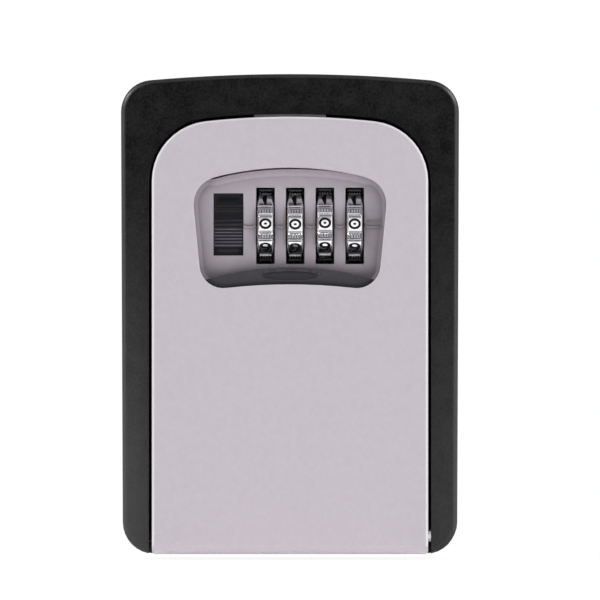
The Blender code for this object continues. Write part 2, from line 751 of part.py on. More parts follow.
def make_dial(number, x, pivot):
    edge, shoulder = DIAL_HALF_WIDTH, DIAL_RADIUS - DIAL_CHAMFER
    profile = [
        (-edge, DIAL_TOOTH_TIP),
        (-edge, shoulder),
        (-edge + DIAL_CHAMFER, DIAL_RADIUS),
        (edge - DIAL_CHAMFER, DIAL_RADIUS),
        (edge, shoulder),
        (edge, DIAL_CLEAR_BORE),
        (DIAL_TOOTH_END, DIAL_CLEAR_BORE),
        (DIAL_TOOTH_END, DIAL_TOOTH_TIP),
    ]
    centre = (x, DIAL_Y, DIAL_Z)
    dial = turned(f"dial_{number}", profile, centre, WHEEL_STEPS)
    span = (-edge - LONG, DIAL_TOOTH_END + 0.1, DIAL_TOOTH_TIP - 0.5, DIAL_TOOTH_ROOT)
    cut(dial, spokes("notches", DIAL_STEPS, *span, NOTCH_WIDTH, centre))
    finish(dial, CHROME, pivot)


def make_hub(number, x, pivot):
    profile = [
        (HUB_LEFT, SPINDLE_BORE),
        (HUB_LEFT, HUB_SLEEVE),
        (HUB_SHOULDER, HUB_SLEEVE),
        (HUB_SHOULDER, HUB_NECK),
        (HUB_DISC_LEFT, HUB_NECK),
        (HUB_DISC_LEFT, HUB_DISC),
        (HUB_RIGHT, HUB_DISC),
        (HUB_RIGHT, SPINDLE_BORE),
    ]
    centre = (x, DIAL_Y, DIAL_Z)
    hub = turned(f"hub_{number}", profile, centre, ROUND_STEPS)
    span = (LUG_LEFT, LUG_RIGHT, HUB_SLEEVE - 0.5, LUG_TIP)
    join(hub, spokes("lugs", HUB_LUGS, *span, LUG_WIDTH, centre))
    gate_low = (x + HUB_DISC_LEFT - 0.2, DIAL_Y - GATE_WIDTH / 2, DIAL_Z + GATE_FLOOR)
    gate_high = (x + HUB_RIGHT + LONG, DIAL_Y + GATE_WIDTH / 2, DIAL_Z + HUB_DISC + LONG)
    cut(hub, block("gate", gate_low, gate_high))
    finish(hub, BRASS, pivot)


def make_spindle(pivot):
    left, right = -BOX_HALF_WIDTH - SPINDLE_TAIL, BOX_HALF_WIDTH + SPINDLE_HEAD_GAP
    groove_left, groove_right = left + GROOVE_START, left + GROOVE_START + GROOVE_WIDTH
    head_radius, head_end = SPINDLE_RADIUS + SPINDLE_HEAD, right + SPINDLE_HEAD
    profile = [
        (left, 0.0),
        (left, SPINDLE_RADIUS),
        (groove_left, SPINDLE_RADIUS),
        (groove_left, GROOVE_RADIUS),
        (groove_right, GROOVE_RADIUS),
        (groove_right, SPINDLE_RADIUS),
        (right, SPINDLE_RADIUS),
        (right, head_radius),
        (head_end, head_radius),
        (head_end, 0.0),
    ]
    spindle = turned("spindle", profile, (0, DIAL_Y, DIAL_Z), ROUND_STEPS)
    finish(spindle, STEEL, pivot)
    clip_left, clip_right = groove_left + CLIP_SIDE_GAP, groove_right - CLIP_SIDE_GAP
    start, end = (clip_left, DIAL_Y, DIAL_Z), (clip_right, DIAL_Y, DIAL_Z)
    clip = rod("spindle_clip", start, end, CLIP_RADIUS)
    eye_start, eye_end = (clip_left - LONG, DIAL_Y, DIAL_Z), (clip_right + LONG, DIAL_Y, DIAL_Z)
    eye = rod("eye", eye_start, eye_end, CLIP_EYE)
    mouth_low = (clip_left - LONG, DIAL_Y, DIAL_Z - CLIP_MOUTH / 2)
    mouth_high = (clip_right + LONG, DIAL_Y + CLIP_RADIUS + LONG, DIAL_Z + CLIP_MOUTH / 2)
    mouth = block("mouth", mouth_low, mouth_high)
    cut(clip, eye, mouth)
    finish(clip, STEEL, pivot)


def make_detent_spring(pivot):
    """A leaf spring on the floor of the box, with one finger under each dial."""
    floor = BOX_BOTTOM + BOX_WALL + LEAF_GAP
    leaf_low, leaf_high = (LEAF_LEFT, LEAF_FRONT, floor), (LEAF_RIGHT, LEAF_BACK, floor + LEAF_THICKNESS)
    spring = block("detent_spring", leaf_low, leaf_high)
    rise = [(LEAF_FRONT + ROOT, 0.0), (FINGER_CREST_Y, FINGER_CREST), (FINGER_END_Y, FINGER_END)]
    lower = [(y, floor + height) for y, height in rise]
    upper = [(y, z + LEAF_THICKNESS) for y, z in reversed(lower)]
    fingers = []
    for x in DIAL_X:
        ends = (x - FINGER_HALF_WIDTH, x + FINGER_HALF_WIDTH)
        fingers.append(prism("finger", lower + upper, "x", *ends))
    join(spring, *fingers)
    finish(spring, STEEL, pivot)


# ---------------------------------------------------------------- latch and opening slider


def make_latch(pivot):
    bolt_profile = [
        (LATCH_FRONT, CROSSBAR_BOTTOM + ROOT),
        (LATCH_BACK, CROSSBAR_BOTTOM + ROOT),
        (LATCH_BACK, BOLT_TOP - BOLT_SLOPE_DROP),
        (LATCH_FRONT + BOLT_NOSE, BOLT_TOP),
        (LATCH_FRONT, BOLT_TOP),
    ]
    latch = prism("latch_plate", bolt_profile, "x", -BOLT_HALF_WIDTH, BOLT_HALF_WIDTH)
    bar_low = (-CROSSBAR_HALF_WIDTH, LATCH_FRONT, CROSSBAR_BOTTOM)
    crossbar = block("crossbar", bar_low, (CROSSBAR_HALF_WIDTH, CROSSBAR_BACK, CROSSBAR_TOP))
    arm_low = (SLIDER_X - ARM_HALF_WIDTH, ARM_FRONT, ARM_BOTTOM)
    arm = block("arm", arm_low, (SLIDER_X + ARM_HALF_WIDTH, LATCH_BACK, CROSSBAR_BOTTOM + ROOT))
    join(latch, crossbar, arm)
    teeth = []
    for x in DIAL_X:
        tooth_low = (x + FENCE_LEFT, DIAL_Y - FENCE_HALF_WIDTH, FENCE_TIP)
        tooth_high = (x + FENCE_RIGHT, DIAL_Y + FENCE_HALF_WIDTH, CROSSBAR_BOTTOM + ROOT)
        teeth.append(block("tooth", tooth_low, tooth_high))
    join(latch, *teeth)
    hole_start = (SLIDER_X, ARM_FRONT - LONG, SLIDER_SCREW_Z)
    hole_end = (SLIDER_X, LATCH_BACK + LONG, SLIDER_SCREW_Z)
    cut(latch, rod("hole", hole_start, hole_end, SCREW_HOLE_RADIUS, SMALL_STEPS))
    finish(latch, CAST_ZINC, pivot)


def ribs(first, count, pitch, crest, valley):
    """Points (y, z) over equal ribs, the lowest of which starts at first."""
    points = []
    for i in range(count):
        z = first + i * pitch
        top = z + RIB_TOP
        points += [(valley, z), (crest, z + RIB_SLOPE), (crest, top), (valley, top + RIB_SLOPE)]
    return points


def slider_pad_profile():
    """The thumb pad from its side, (y, z), going up: fine ribs, bold ribs, a hollow, bold ribs, a flat."""
    low = SLIDER_SLOT_BOTTOM + LATCH_TRAVEL + SLIDER_CLEARANCE
    high = SLIDER_SLOT_TOP - SLIDER_CLEARANCE
    root = SLIDER_PLATE_FRONT + ROOT
    valley, hollow = SLIDER_FRONT + PAD_VALLEY, SLIDER_FRONT + PAD_HOLLOW
    points = [(root, low), (valley, low)]
    points += ribs(low + RIB_SLOPE, FINE_RIBS, FINE_PITCH, SLIDER_FRONT + FINE_DROP, valley)
    points += ribs(low + LOW_BOLD_RIBS, 2, BOLD_PITCH, SLIDER_FRONT, valley)
    hollow_top = low + HIGH_BOLD_RIBS - RIB_SLOPE
    points += [(hollow, low + HOLLOW_START), (hollow, hollow_top)]
    points += ribs(low + HIGH_BOLD_RIBS, 2, BOLD_PITCH, SLIDER_FRONT, valley)
    flat = low + HIGH_BOLD_RIBS + BOLD_PITCH + RIB_TOP + 2 * RIB_SLOPE
    return [*points, (hollow, flat), (hollow, high), (root, high)]


def make_slider(pivot):
    half = SLIDER_SLOT_HALF_WIDTH - SLIDER_CLEARANCE
    plate_low = (SLIDER_X - half - SLIDER_LAP, SLIDER_PLATE_FRONT, ARM_BOTTOM)
    plate_top = SLIDER_SLOT_TOP + LATCH_TRAVEL + ROOT
    plate_high = (SLIDER_X + half + SLIDER_LAP, SLIDER_PLATE_BACK, plate_top)
    slider = block("opening_slider", plate_low, plate_high)
    join(slider, prism("pad", slider_pad_profile(), "x", SLIDER_X - half, SLIDER_X + half))
    start = (SLIDER_X, SLIDER_PLATE_BACK + LONG, SLIDER_SCREW_Z)
    pilot = rod("pilot", start, (SLIDER_X, SLIDER_PILOT_END, SLIDER_SCREW_Z), PILOT_RADIUS, SMALL_STEPS)
    cut(slider, pilot)
    finish(slider, BLACK_PLASTIC, pivot)
    where = {"x": SLIDER_X, "z": SLIDER_SCREW_Z, "material": STEEL, "pivot": pivot}
    head = {"head_radius": SLIDER_HEAD_RADIUS, "head_height": SLIDER_HEAD_HEIGHT}
    screw("slider_screw", LATCH_BACK + SLIDER_HEAD_GAP, SLIDER_SCREW_TIP, **head, **where)


def make_latch_springs(pivot):
    for name, x in (("latch_spring_left", -LATCH_SPRING_X), ("latch_spring_right", LATCH_SPRING_X)):
        start = (x, LATCH_SPRING_Y, LEDGE_TOP + SPRING_END_GAP)
        end = (x, LATCH_SPRING_Y, CROSSBAR_BOTTOM - SPRING_END_GAP)
        size = (LATCH_SPRING_RADIUS, LATCH_SPRING_WIRE, LATCH_SPRING_TURNS)
        finish(coil(name, start, end, *size, steps_per_turn=8), STEEL, pivot)


# ---------------------------------------------------------------- reset lever and lock cover


def make_lever(pivot):
    """The reset lever: a plate behind the dials, two tines that push the first hub, and a knob."""
    tine_right = DIAL_X[0] + HUB_LEFT - TINE_GAP
    tine_left = tine_right - TINE_THICKNESS
    plate_low = (tine_left, LEVER_FRONT, DIAL_Z - LEVER_HALF_HEIGHT)
    lever = block("reset_lever", plate_low, (LEVER_RIGHT, LEVER_BACK, DIAL_Z + LEVER_HALF_HEIGHT))
    tines = []
    for z in (DIAL_Z - TINE_OFFSET - TINE_HEIGHT, DIAL_Z + TINE_OFFSET):
        low = (tine_left, TINE_FRONT, z)
        tines.append(block("tine", low, (tine_right, LEVER_FRONT + ROOT, z + TINE_HEIGHT)))
    knob_low = (KNOB_LEFT, LEVER_FRONT + ROOT, DIAL_Z - KNOB_HALF_HEIGHT)
    knob = block("knob", knob_low, (KNOB_RIGHT, LEVER_KNOB_BACK, DIAL_Z + KNOB_HALF_HEIGHT))
    join(lever, knob, *tines)
    finish(lever, CAST_ZINC, pivot)


def make_lock_cover(pivot):
    wide, low, high = BOX_HALF_WIDTH, BOX_BOTTOM, BOX_TOP
    right = [(wide, low, COVER_CORNER), (wide, high, COVER_CORNER)]
    left = [(-x, z, radius) for x, z, radius in reversed(right)]
    cover = prism("lock_cover", rounded_outline(right + left), "y", COVER_FRONT, COVER_BACK)
    front, back = COVER_FRONT - LONG, COVER_BACK + LONG
    half_height = KNOB_HALF_HEIGHT + KNOB_GAP
    slot_low = (KNOB_LEFT - KNOB_GAP, front, DIAL_Z - half_height)
    slot_high = (KNOB_RIGHT + RESET_TRAVEL + KNOB_GAP, back, DIAL_Z + half_height)
    cutters = [block("slot", slot_low, slot_high)]
    for x in (-SCREW_POST_X, SCREW_POST_X):
        for z in SCREW_POST_Z:
            cutters.append(rod("hole", (x, front, z), (x, back, z), SCREW_HOLE_RADIUS, SMALL_STEPS))
    cut(cover, *cutters)
    finish(cover, CAST_ZINC, pivot)


# ---------------------------------------------------------------- assembly


make_case()

door = new_pivot("door_pivot", (0, HINGE_Y, HINGE_Z))
make_door(door)
make_housing(door)
make_shutter(new_pivot("shutter_origin", (0, SHUTTER_BACK, SHUTTER_TOP), door))

for index, dial_x in enumerate(DIAL_X):
    dial_pivot = new_pivot(f"dial_{index + 1}_axis", (dial_x, DIAL_Y, DIAL_Z), door)
    make_dial(index + 1, dial_x, dial_pivot)
    make_hub(index + 1, dial_x, dial_pivot)
make_spindle(door)
hub_end = (DIAL_X[-1] + HUB_RIGHT + SPRING_END_GAP, DIAL_Y, DIAL_Z)
box_end = (BOX_HALF_WIDTH - BOX_WALL - SPRING_END_GAP, DIAL_Y, DIAL_Z)
hub_spring_size = (HUB_SPRING_RADIUS, HUB_SPRING_WIRE, HUB_SPRING_TURNS)
finish(coil("hub_spring", hub_end, box_end, *hub_spring_size), STEEL, door)
make_detent_spring(door)

latch_pivot = new_pivot("latch_origin", (SLIDER_X, LATCH_BACK, SLIDER_SCREW_Z), door)
make_latch(latch_pivot)
make_slider(latch_pivot)
make_latch_springs(door)
make_lever(new_pivot("reset_lever_origin", (0, LEVER_BACK, DIAL_Z), door))
make_lock_cover(door)

screw_size = {"head_radius": SCREW_HEAD_RADIUS, "head_height": SCREW_HEAD_HEIGHT}
screw_look = {"material": STEEL, "pivot": door}
corners = [(side, level) for side in (-1, 1) for level in (0, 1)]
for index, (side, level) in enumerate(corners):
    name = f"lock_cover_screw_{index + 1}"
    place = {"x": side * SCREW_POST_X, "z": SCREW_POST_Z[level]}
    ends = (COVER_BACK + SCREW_SEAT_GAP, BOX_BACK - COVER_SCREW_REACH)
    screw(name, *ends, **place, **screw_size, **screw_look)
    name = f"housing_screw_{index + 1}"
    place = {"x": side * HOUSING_SCREW_X, "z": HOUSING_SCREW_Z[level]}
    ends = (PLATE_BACK + SCREW_SEAT_GAP, DOOR_FRONT + HOUSING_SCREW_START)
    screw(name, *ends, **place, **screw_size, **screw_look)
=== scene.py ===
"""Looks of the key lock box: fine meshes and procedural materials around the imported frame.

Positions are in metres in the frame's own axes: +Z up, +Y into the wall, -Y towards the user.
Sizes that a person would measure are written in millimetres and multiplied by MM.
"""

import json
import math

import bmesh
import bpy
from mathutils import Matrix, Vector


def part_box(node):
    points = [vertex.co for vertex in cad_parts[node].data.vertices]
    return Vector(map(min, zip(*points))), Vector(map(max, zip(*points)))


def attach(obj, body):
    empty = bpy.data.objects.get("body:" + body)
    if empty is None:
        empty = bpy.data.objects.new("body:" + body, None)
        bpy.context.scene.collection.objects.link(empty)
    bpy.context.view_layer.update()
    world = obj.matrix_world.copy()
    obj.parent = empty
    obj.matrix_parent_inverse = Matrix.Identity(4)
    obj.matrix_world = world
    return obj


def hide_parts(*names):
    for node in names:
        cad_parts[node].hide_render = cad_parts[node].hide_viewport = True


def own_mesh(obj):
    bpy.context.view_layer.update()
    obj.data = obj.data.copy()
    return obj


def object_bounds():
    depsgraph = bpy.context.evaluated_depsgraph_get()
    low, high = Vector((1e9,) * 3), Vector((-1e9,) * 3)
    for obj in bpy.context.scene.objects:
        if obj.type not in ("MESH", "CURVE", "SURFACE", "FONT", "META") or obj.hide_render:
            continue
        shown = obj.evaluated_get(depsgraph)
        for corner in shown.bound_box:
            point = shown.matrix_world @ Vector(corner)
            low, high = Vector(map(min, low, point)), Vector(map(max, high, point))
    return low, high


MM = 0.001

# Picture: how wide it is at the door's front, and where the box sits in it
VIEW_WIDTH = 149.8
VIEW_OFFSET_X = 2.5
VIEW_OFFSET_Z = 3.5
LENS = 800.0
SENSOR = 36.0

# Dials
DIGITS = 10
DIGIT_STEP = math.radians(36)
DIAL_LEANS = (3.4, 2.6, 4.5, 3.1)
PAD_RADIUS = 10.08
PAD_HALF = math.radians(9.8)
GROOVE_RADIUS = 9.66
RIB_RADIUS = 10.2
RIB_HALF = math.radians(4.5)
RIB_NOTCHES = 5
PAD_FLATNESS = 0.6
DIAL_CHAMFER = 0.35
DIAL_BORE = 6.4
STATIONS_PER_NOTCH = 4
SAMPLES_PER_DIGIT = 36
DIGIT_WIDTH = 2.9
DIGIT_HEIGHT = 2.85
DIGIT_WEIGHT = 0.01
ONE = ((0.34, -1.3), (0.34, 1.7), (-0.1, 1.7), (-0.8, 1.15), (-0.8, 0.6), (-0.22, 0.9), (-0.22, -1.3))
ZERO_SIZE = (3.05, 2.7)
ZERO_STROKE = 0.54
# The dot in the zero's middle is a painted reflection of the camera.
CAMERA_REFLECTION_DOT = (0.75, 0.5)
DIGIT_PROUD = 0.03
DIGIT_DEPTH = 0.13
DIGIT_SLICES = 7
DIGIT_SLICE = 0.22

# Bay: the dished floor round the dials, just behind the door's window
WINDOW_TOP_HALF = 24.6
WINDOW_TOP_CORNER = (32.5, 7.0)
WINDOW_LOW_HALF = 22.0
WINDOW_LOW_CORNER = (5.6, 6.0)
WINDOW_TOP_BOW = (17.0, 36.55, 76.0)
WINDOW_LOW_BOW = (15.5, 7.4, 140.0)
BAY_FLOOR = -34.0
BAY_RIM = -36.4
DISH_OVERLAP = 0.35
DISH_TOP_GAP = 0.7
DISH_TOP_NARROWING = 0.4
DISH_REACH = 1.7
DISH_BACK = 0.5
DISH_SINK = 0.03
DISH_SKIRT = 0.3
DISH_STEPS = 12
RIM_OUTER = 0.55
RIM_FLAT = 0.35
RIM_CHAMFER = 0.2

# Index line across the bay: a low bead that turns up beside each dial slot
BEAD_HALF = 0.3
BEAD_HEIGHT = 0.65
BEAD_Z = 21.75
BEAD_CURL = 0.75
BEAD_TIP = 0.45
BEAD_SIDES = 12
UPPER_BEAD_Z = 23.25
UPPER_BEAD_SHARE = (0.8, 0.7)
BAY_RIGHT = 24.4
SLOT_HALF_WIDTH = 2.315
SLIDER_SLOT_RIGHT = -11.68
SLOT_MARGIN = 0.25

# Raised lip over the shutter's thumb recess, with a short curl beyond each end
RECESS_CENTRE_Z = 9.55
RECESS_HALF = (7.2, 1.15)
LIP_HALF = 0.16
LIP_HEIGHT = 0.16
LIP_START = 172.0
LIP_SWEEP = 164.0
LIP_STEPS = 40
CURL_RADIUS = 1.25
CURL_INSET = 0.1
CURL_RISE = 0.9
CURL_TURNS = (10.0, -75.0)
SHUTTER_FACE = -37.9

# Broken edges: widths in mm, and the angles in degrees over which an edge counts as sharp
CASTING_EDGE = 0.2
HOUSING_EDGE = 0.1
SMALL_EDGE = 0.12
EDGE_STEPS = 2
SHARP_EDGE = 40.0
SHARP_SHADING = 35.0
DIAL_SHADING = 50.0
DIGIT_SHADING = 40.0
JOIN_DISTANCE = 0.0005

# Stage: lengths in metres, but the floor's drop under the box in mm
WHITE = 1.02
FLOOR_HALF = 6.0
FLOOR_DROP = 1.5
FLOOR_CLEAR = 0.02
FLOOR_WHITE = 0.11
FLOOR_LEAST = 0.85
FLOOR_GLOW = 0.3
ROOM_STRENGTH = 0.41
# Radiance of the room by height, from straight down (-1) to straight up (1)
ROOM = ((-1.0, 0.6), (-0.5, 0.95), (-0.1, 1.0), (0.2, 0.85), (0.6, 0.95), (0.85, 0.7), (1.0, 0.4))
# Area lights: name, place, the point they face, width, height and watts
LIGHTS = (
    ("key_softbox", (0.70, -0.75, 0.10), (0, 0, 0), 0.4, 0.4, 0.9),
    ("front_panel", (0.0, -1.25, 0.0), (0, 0, 0), 0.6, 0.6, 0.8),
    ("left_fill", (-0.60, -0.85, -0.15), (0, 0, 0), 0.3, 0.3, 0.3),
    ("upper_strip", (0.0, -0.60, 0.70), (0, 0, 0), 0.8, 0.22, 0.35),
    ("rim_left", (-0.60, -0.08, 0.42), (0, 0, 0), 0.3, 0.16, 2.4),
    ("rim_right", (0.60, -0.08, 0.42), (0, 0, 0), 0.3, 0.16, 2.4),
    ("spot_left", (-0.50, -0.50, 0.42), (0, 0, 0), 0.09, 0.09, 0.45),
    ("spot_right", (0.50, -0.50, 0.42), (0, 0, 0), 0.09, 0.09, 0.45),
    ("low_panel", (-0.14, -0.34, -0.15), (0, -0.04, -0.03), 0.22, 0.05, 0.03),
)

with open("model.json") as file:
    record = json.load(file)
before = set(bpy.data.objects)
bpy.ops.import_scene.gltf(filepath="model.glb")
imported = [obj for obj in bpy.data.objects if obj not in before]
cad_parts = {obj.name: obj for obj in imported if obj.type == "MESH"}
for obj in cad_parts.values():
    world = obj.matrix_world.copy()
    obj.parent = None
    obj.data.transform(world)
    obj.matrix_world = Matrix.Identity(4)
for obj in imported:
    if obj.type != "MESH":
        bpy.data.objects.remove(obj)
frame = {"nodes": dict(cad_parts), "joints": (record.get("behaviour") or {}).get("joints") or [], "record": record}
cad_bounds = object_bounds()
node_body = {node: body for body, nodes in frame["record"]["behaviour"]["bodies"].items() for node in nodes}
joint_by_name = {joint["name"]: joint for joint in frame["joints"]}


# ---------------------------------------------------------------- material helpers


class Look:
    """A material's node tree, with short calls for the nodes that the materials here share."""

    def __init__(self, name):
        self.material = bpy.data.materials.new(name)
        self.material.use_nodes = True
        self.nodes = self.material.node_tree.nodes
        self.links = self.material.node_tree.links
        self.shader = self.nodes["Principled BSDF"]
        self.place = self.nodes.new("ShaderNodeTexCoord").outputs["Object"]

    def link(self, source, target):
        if isinstance(source, (int, float)):
            target.default_value = source
        elif isinstance(source, tuple):
            target.default_value = (*source, 1.0)
        else:
            self.links.new(source, target)

    def stretch(self, scale):
        """The object's own coordinates, scaled by a different amount on each axis."""
        node = self.nodes.new("ShaderNodeMapping")
        node.inputs["Scale"].default_value = scale
        self.links.new(self.place, node.inputs["Vector"])
        return node.outputs["Vector"]

    def noise(self, size_mm, detail=3.0, roughness=0.55, vector=None):
        """Noise from 0 to 1 whose blotches are about size_mm across."""
        node = self.nodes.new("ShaderNodeTexNoise")
        node.inputs["Scale"].default_value = 1.0 / (size_mm * MM)
        node.inputs["Detail"].default_value = detail
        node.inputs["Roughness"].default_value = roughness
        self.links.new(vector or self.place, node.inputs["Vector"])
        return node.outputs["Fac"]

    def span(self, value, low, high, to_low=0.0, to_high=1.0):
        """value mapped from low..high to to_low..to_high, clamped."""
        node = self.nodes.new("ShaderNodeMapRange")
        node.inputs["From Min"].default_value = low
        node.inputs["From Max"].default_value = high
        node.inputs["To Min"].default_value = to_low
        node.inputs["To Max"].default_value = to_high
        self.links.new(value, node.inputs["Value"])
        return node.outputs["Result"]

    def math(self, operation, a, b=0.0):
        node = self.nodes.new("ShaderNodeMath")
        node.operation = operation
        self.link(a, node.inputs[0])
        self.link(b, node.inputs[1])
        return node.outputs["Value"]

    def mix(self, factor, first, second):
        node = self.nodes.new("ShaderNodeMix")
        node.data_type = "RGBA"
        self.link(factor, node.inputs["Factor"])
        self.link(first, node.inputs["A"])
        self.link(second, node.inputs["B"])
        return node.outputs["Result"]

    def along(self, axis, start_mm, end_mm):
        """0 at start_mm and 1 at end_mm along one of the object's own axes, clamped beyond them."""
        split = self.nodes.new("ShaderNodeSeparateXYZ")
        self.links.new(self.place, split.inputs["Vector"])
        return self.span(split.outputs[axis], start_mm * MM, end_mm * MM)

    def facing(self, axis):
        """How far the surface faces along one of the object's own axes, from -1 to 1."""
        split = self.nodes.new("ShaderNodeSeparateXYZ")
        self.links.new(self.nodes.new("ShaderNodeTexCoord").outputs["Normal"], split.inputs["Vector"])
        return split.outputs[axis]

    def rounds(self):
        """1 on the front's rounded edges, and 0 on its flats, on the sides and on edges that face down."""
        front = self.math("MULTIPLY", self.facing("Y"), -1.0)
        round_off = self.math("MULTIPLY", self.span(front, 0.975, 0.84), self.span(front, 0.2, 0.45))
        return self.math("MULTIPLY", round_off, self.span(self.facing("Z"), -0.35, 0.0))

    def hollows(self, reach_mm):
        """1 in the open, falling towards 0 where nearby walls stand close round a point."""
        node = self.nodes.new("ShaderNodeAmbientOcclusion")
        node.samples = 8
        node.inputs["Distance"].default_value = reach_mm * MM
        return node.outputs["AO"]

    def edges(self, radius_mm):
        """1 on an edge that sticks out or in, and 0 on a flat."""
        bevel = self.nodes.new("ShaderNodeBevel")
        bevel.samples = 6
        bevel.inputs["Radius"].default_value = radius_mm * MM
        geometry = self.nodes.new("ShaderNodeNewGeometry")
        dot = self.nodes.new("ShaderNodeVectorMath")
        dot.operation = "DOT_PRODUCT"
        self.links.new(bevel.outputs["Normal"], dot.inputs[0])
        self.links.new(geometry.outputs["Normal"], dot.inputs[1])
        return self.span(dot.outputs["Value"], 0.995, 0.9)

    def bump(self, height, depth_mm, strength, below=None):
        node = self.nodes.new("ShaderNodeBump")
        node.inputs["Strength"].default_value = strength
        node.inputs["Distance"].default_value = depth_mm * MM
        self.links.new(height, node.inputs["Height"])
        if below is not None:
            self.links.new(below, node.inputs["Normal"])
        return node.outputs["Normal"]

    def finish(self, colour, roughness, metallic=0.0, normal=None):
        self.link(colour, self.shader.inputs["Base Color"])
        self.link(roughness, self.shader.inputs["Roughness"])
        self.link(metallic, self.shader.inputs["Metallic"])
        if normal is not None:
            self.links.new(normal, self.shader.inputs["Normal"])
        return self.material


def powder_coat(
    name, dark, light, worn, grain_mm, depth_mm, shine_range,
    specular=0.5, tint=None, painted_shade=None, dark_walls=None, rounded=None,
):
    """Sprayed coat on a casting: orange-peel grain, faint mottling and thin spots along the edges.

    haze is a paler colour painted on as light: it grows towards its foot, and more on its left than on its right.
    dust is a darker colour painted on as shade: in its narrow places, where nearby walls stand close, and, more
    faintly, towards its foot.
    bare gives a near-black colour for the openings' walls, and the depths in mm between which it shows.
    rounded gives the colour and specular level of a painted highlight on the rounded front edges that do not face
    down.
    """
    look = Look(name)
    grain = look.noise(grain_mm, 4.0, 0.6)
    mottle = look.noise(grain_mm * 6, 2.0)
    broad = look.noise(45.0, 2.0)
    speckle = look.math("ADD", look.math("MULTIPLY", grain, 0.65), look.math("MULTIPLY", mottle, 0.35))
    tone = look.mix(look.span(speckle, 0.38, 0.62), dark, light)
    # Painted light: the coat turns paler towards its foot and its left.
    if tint is not None:
        low = look.along("Z", 40, -44)
        left = look.span(look.along("X", 40, -40), 0.0, 1.0, 0.55, 1.0)
        uneven = look.span(speckle, 0.35, 0.65, 0.85, 1.15)
        tone = look.mix(look.math("MULTIPLY", look.math("MULTIPLY", low, left), uneven), tone, tint)
    # Painted shade: darker where nearby walls stand close, and towards the foot.
    if painted_shade is not None:
        lower_shade = look.math("MULTIPLY", look.along("Z", 30, 16), 0.26)
        crevice_shade = look.span(look.hollows(5.0), 0.93, 0.62, 0.0, 0.72)
        tone = look.mix(look.math("ADD", crevice_shade, lower_shade), tone, painted_shade)
    # Near-black on the walls of the openings, between the given depths.
    if dark_walls is not None:
        wall_tone, near, far = dark_walls
        inside = look.math("MULTIPLY", look.along("Y", near, near + 0.15), look.along("Y", far + 0.5, far))
        on_wall = look.span(look.math("ABSOLUTE", look.facing("Y")), 0.8, 0.5)
        inside = look.math("MULTIPLY", inside, on_wall)
        tone = look.mix(inside, tone, wall_tone)
    # Painted highlight: paler and more specular on the rounded front edges that do not face down.
    if rounded is not None:
        edge_highlight_tone, edge_highlight_specular = rounded
        tone = look.mix(look.math("MULTIPLY", look.rounds(), 0.7), tone, edge_highlight_tone)
        specular = look.span(look.rounds(), 0.0, 1.0, specular, edge_highlight_specular)
    wear = look.math("MULTIPLY", look.edges(0.35), look.span(look.noise(1.1, 4.0, 0.7), 0.52, 0.66))
    colour = look.mix(look.math("MULTIPLY", wear, 0.35), tone, worn)
    shine = look.math("ADD", look.math("MULTIPLY", grain, 0.5), look.math("MULTIPLY", broad, 0.5))
    shine = look.span(shine, 0.35, 0.65, *shine_range)
    normal = look.bump(mottle, depth_mm, 0.35, look.bump(grain, depth_mm, 0.8))
    look.link(specular, look.shader.inputs["Specular IOR Level"])
    return look.finish(colour, shine, 0.0, normal)


def plated(name, colour, tarnish, rough_low, rough_high, dark_groove_mm=0.0, darkened_span=None):
    """Polished plating: hairline scratches along X and a faint, uneven haze.

    dark_groove_mm is the width of the grooves that are darkened to black. Painted shade also darkens the plating
    deep in the dial slots.
    oiled gives the places along X, in mm, where the plating begins to darken to near black and is darkest.
    """
    look = Look(name)
    hairs = look.noise(1.2, 5.0, 0.7, look.stretch((0.4, 6.0, 6.0)))
    tint = look.noise(2.5, 3.0)
    tone = look.mix(look.span(tint, 0.35, 0.75), colour, tarnish)
    shine = look.span(look.math("MULTIPLY", hairs, tint), 0.15, 0.4, rough_low, rough_high)
    metallic = 1.0
    # Narrow grooves darkened to black, and painted shade where the slot walls stand close.
    if dark_groove_mm:
        undarkened = look.span(look.hollows(dark_groove_mm), 0.6, 0.9)
        undarkened = look.math("MULTIPLY", undarkened, look.span(look.hollows(5.0), 0.50, 0.72))
        tone = look.mix(undarkened, (0.01, 0.01, 0.01), tone)
        metallic = undarkened
    # Darker towards the left end.
    if darkened_span is not None:
        tone = look.mix(look.along("X", *darkened_span), tone, (0.006, 0.006, 0.006))
    return look.finish(tone, shine, metallic, look.bump(hairs, 0.004, 0.4))


def cast_metal(name, colour, shade, rough_low, rough_high):
    """Bare die casting: a dull, slightly pitted skin with brighter, worn edges."""
    look = Look(name)
    pits = look.noise(0.35, 5.0, 0.65)
    flow = look.noise(9.0, 3.0)
    tone = look.mix(look.span(flow, 0.35, 0.7), colour, shade)
    tone = look.mix(look.math("MULTIPLY", look.edges(0.3), 0.6), tone, (0.82, 0.82, 0.83))
    shine = look.span(pits, 0.35, 0.7, rough_low, rough_high)
    return look.finish(tone, shine, 1.0, look.bump(pits, 0.02, 0.6))


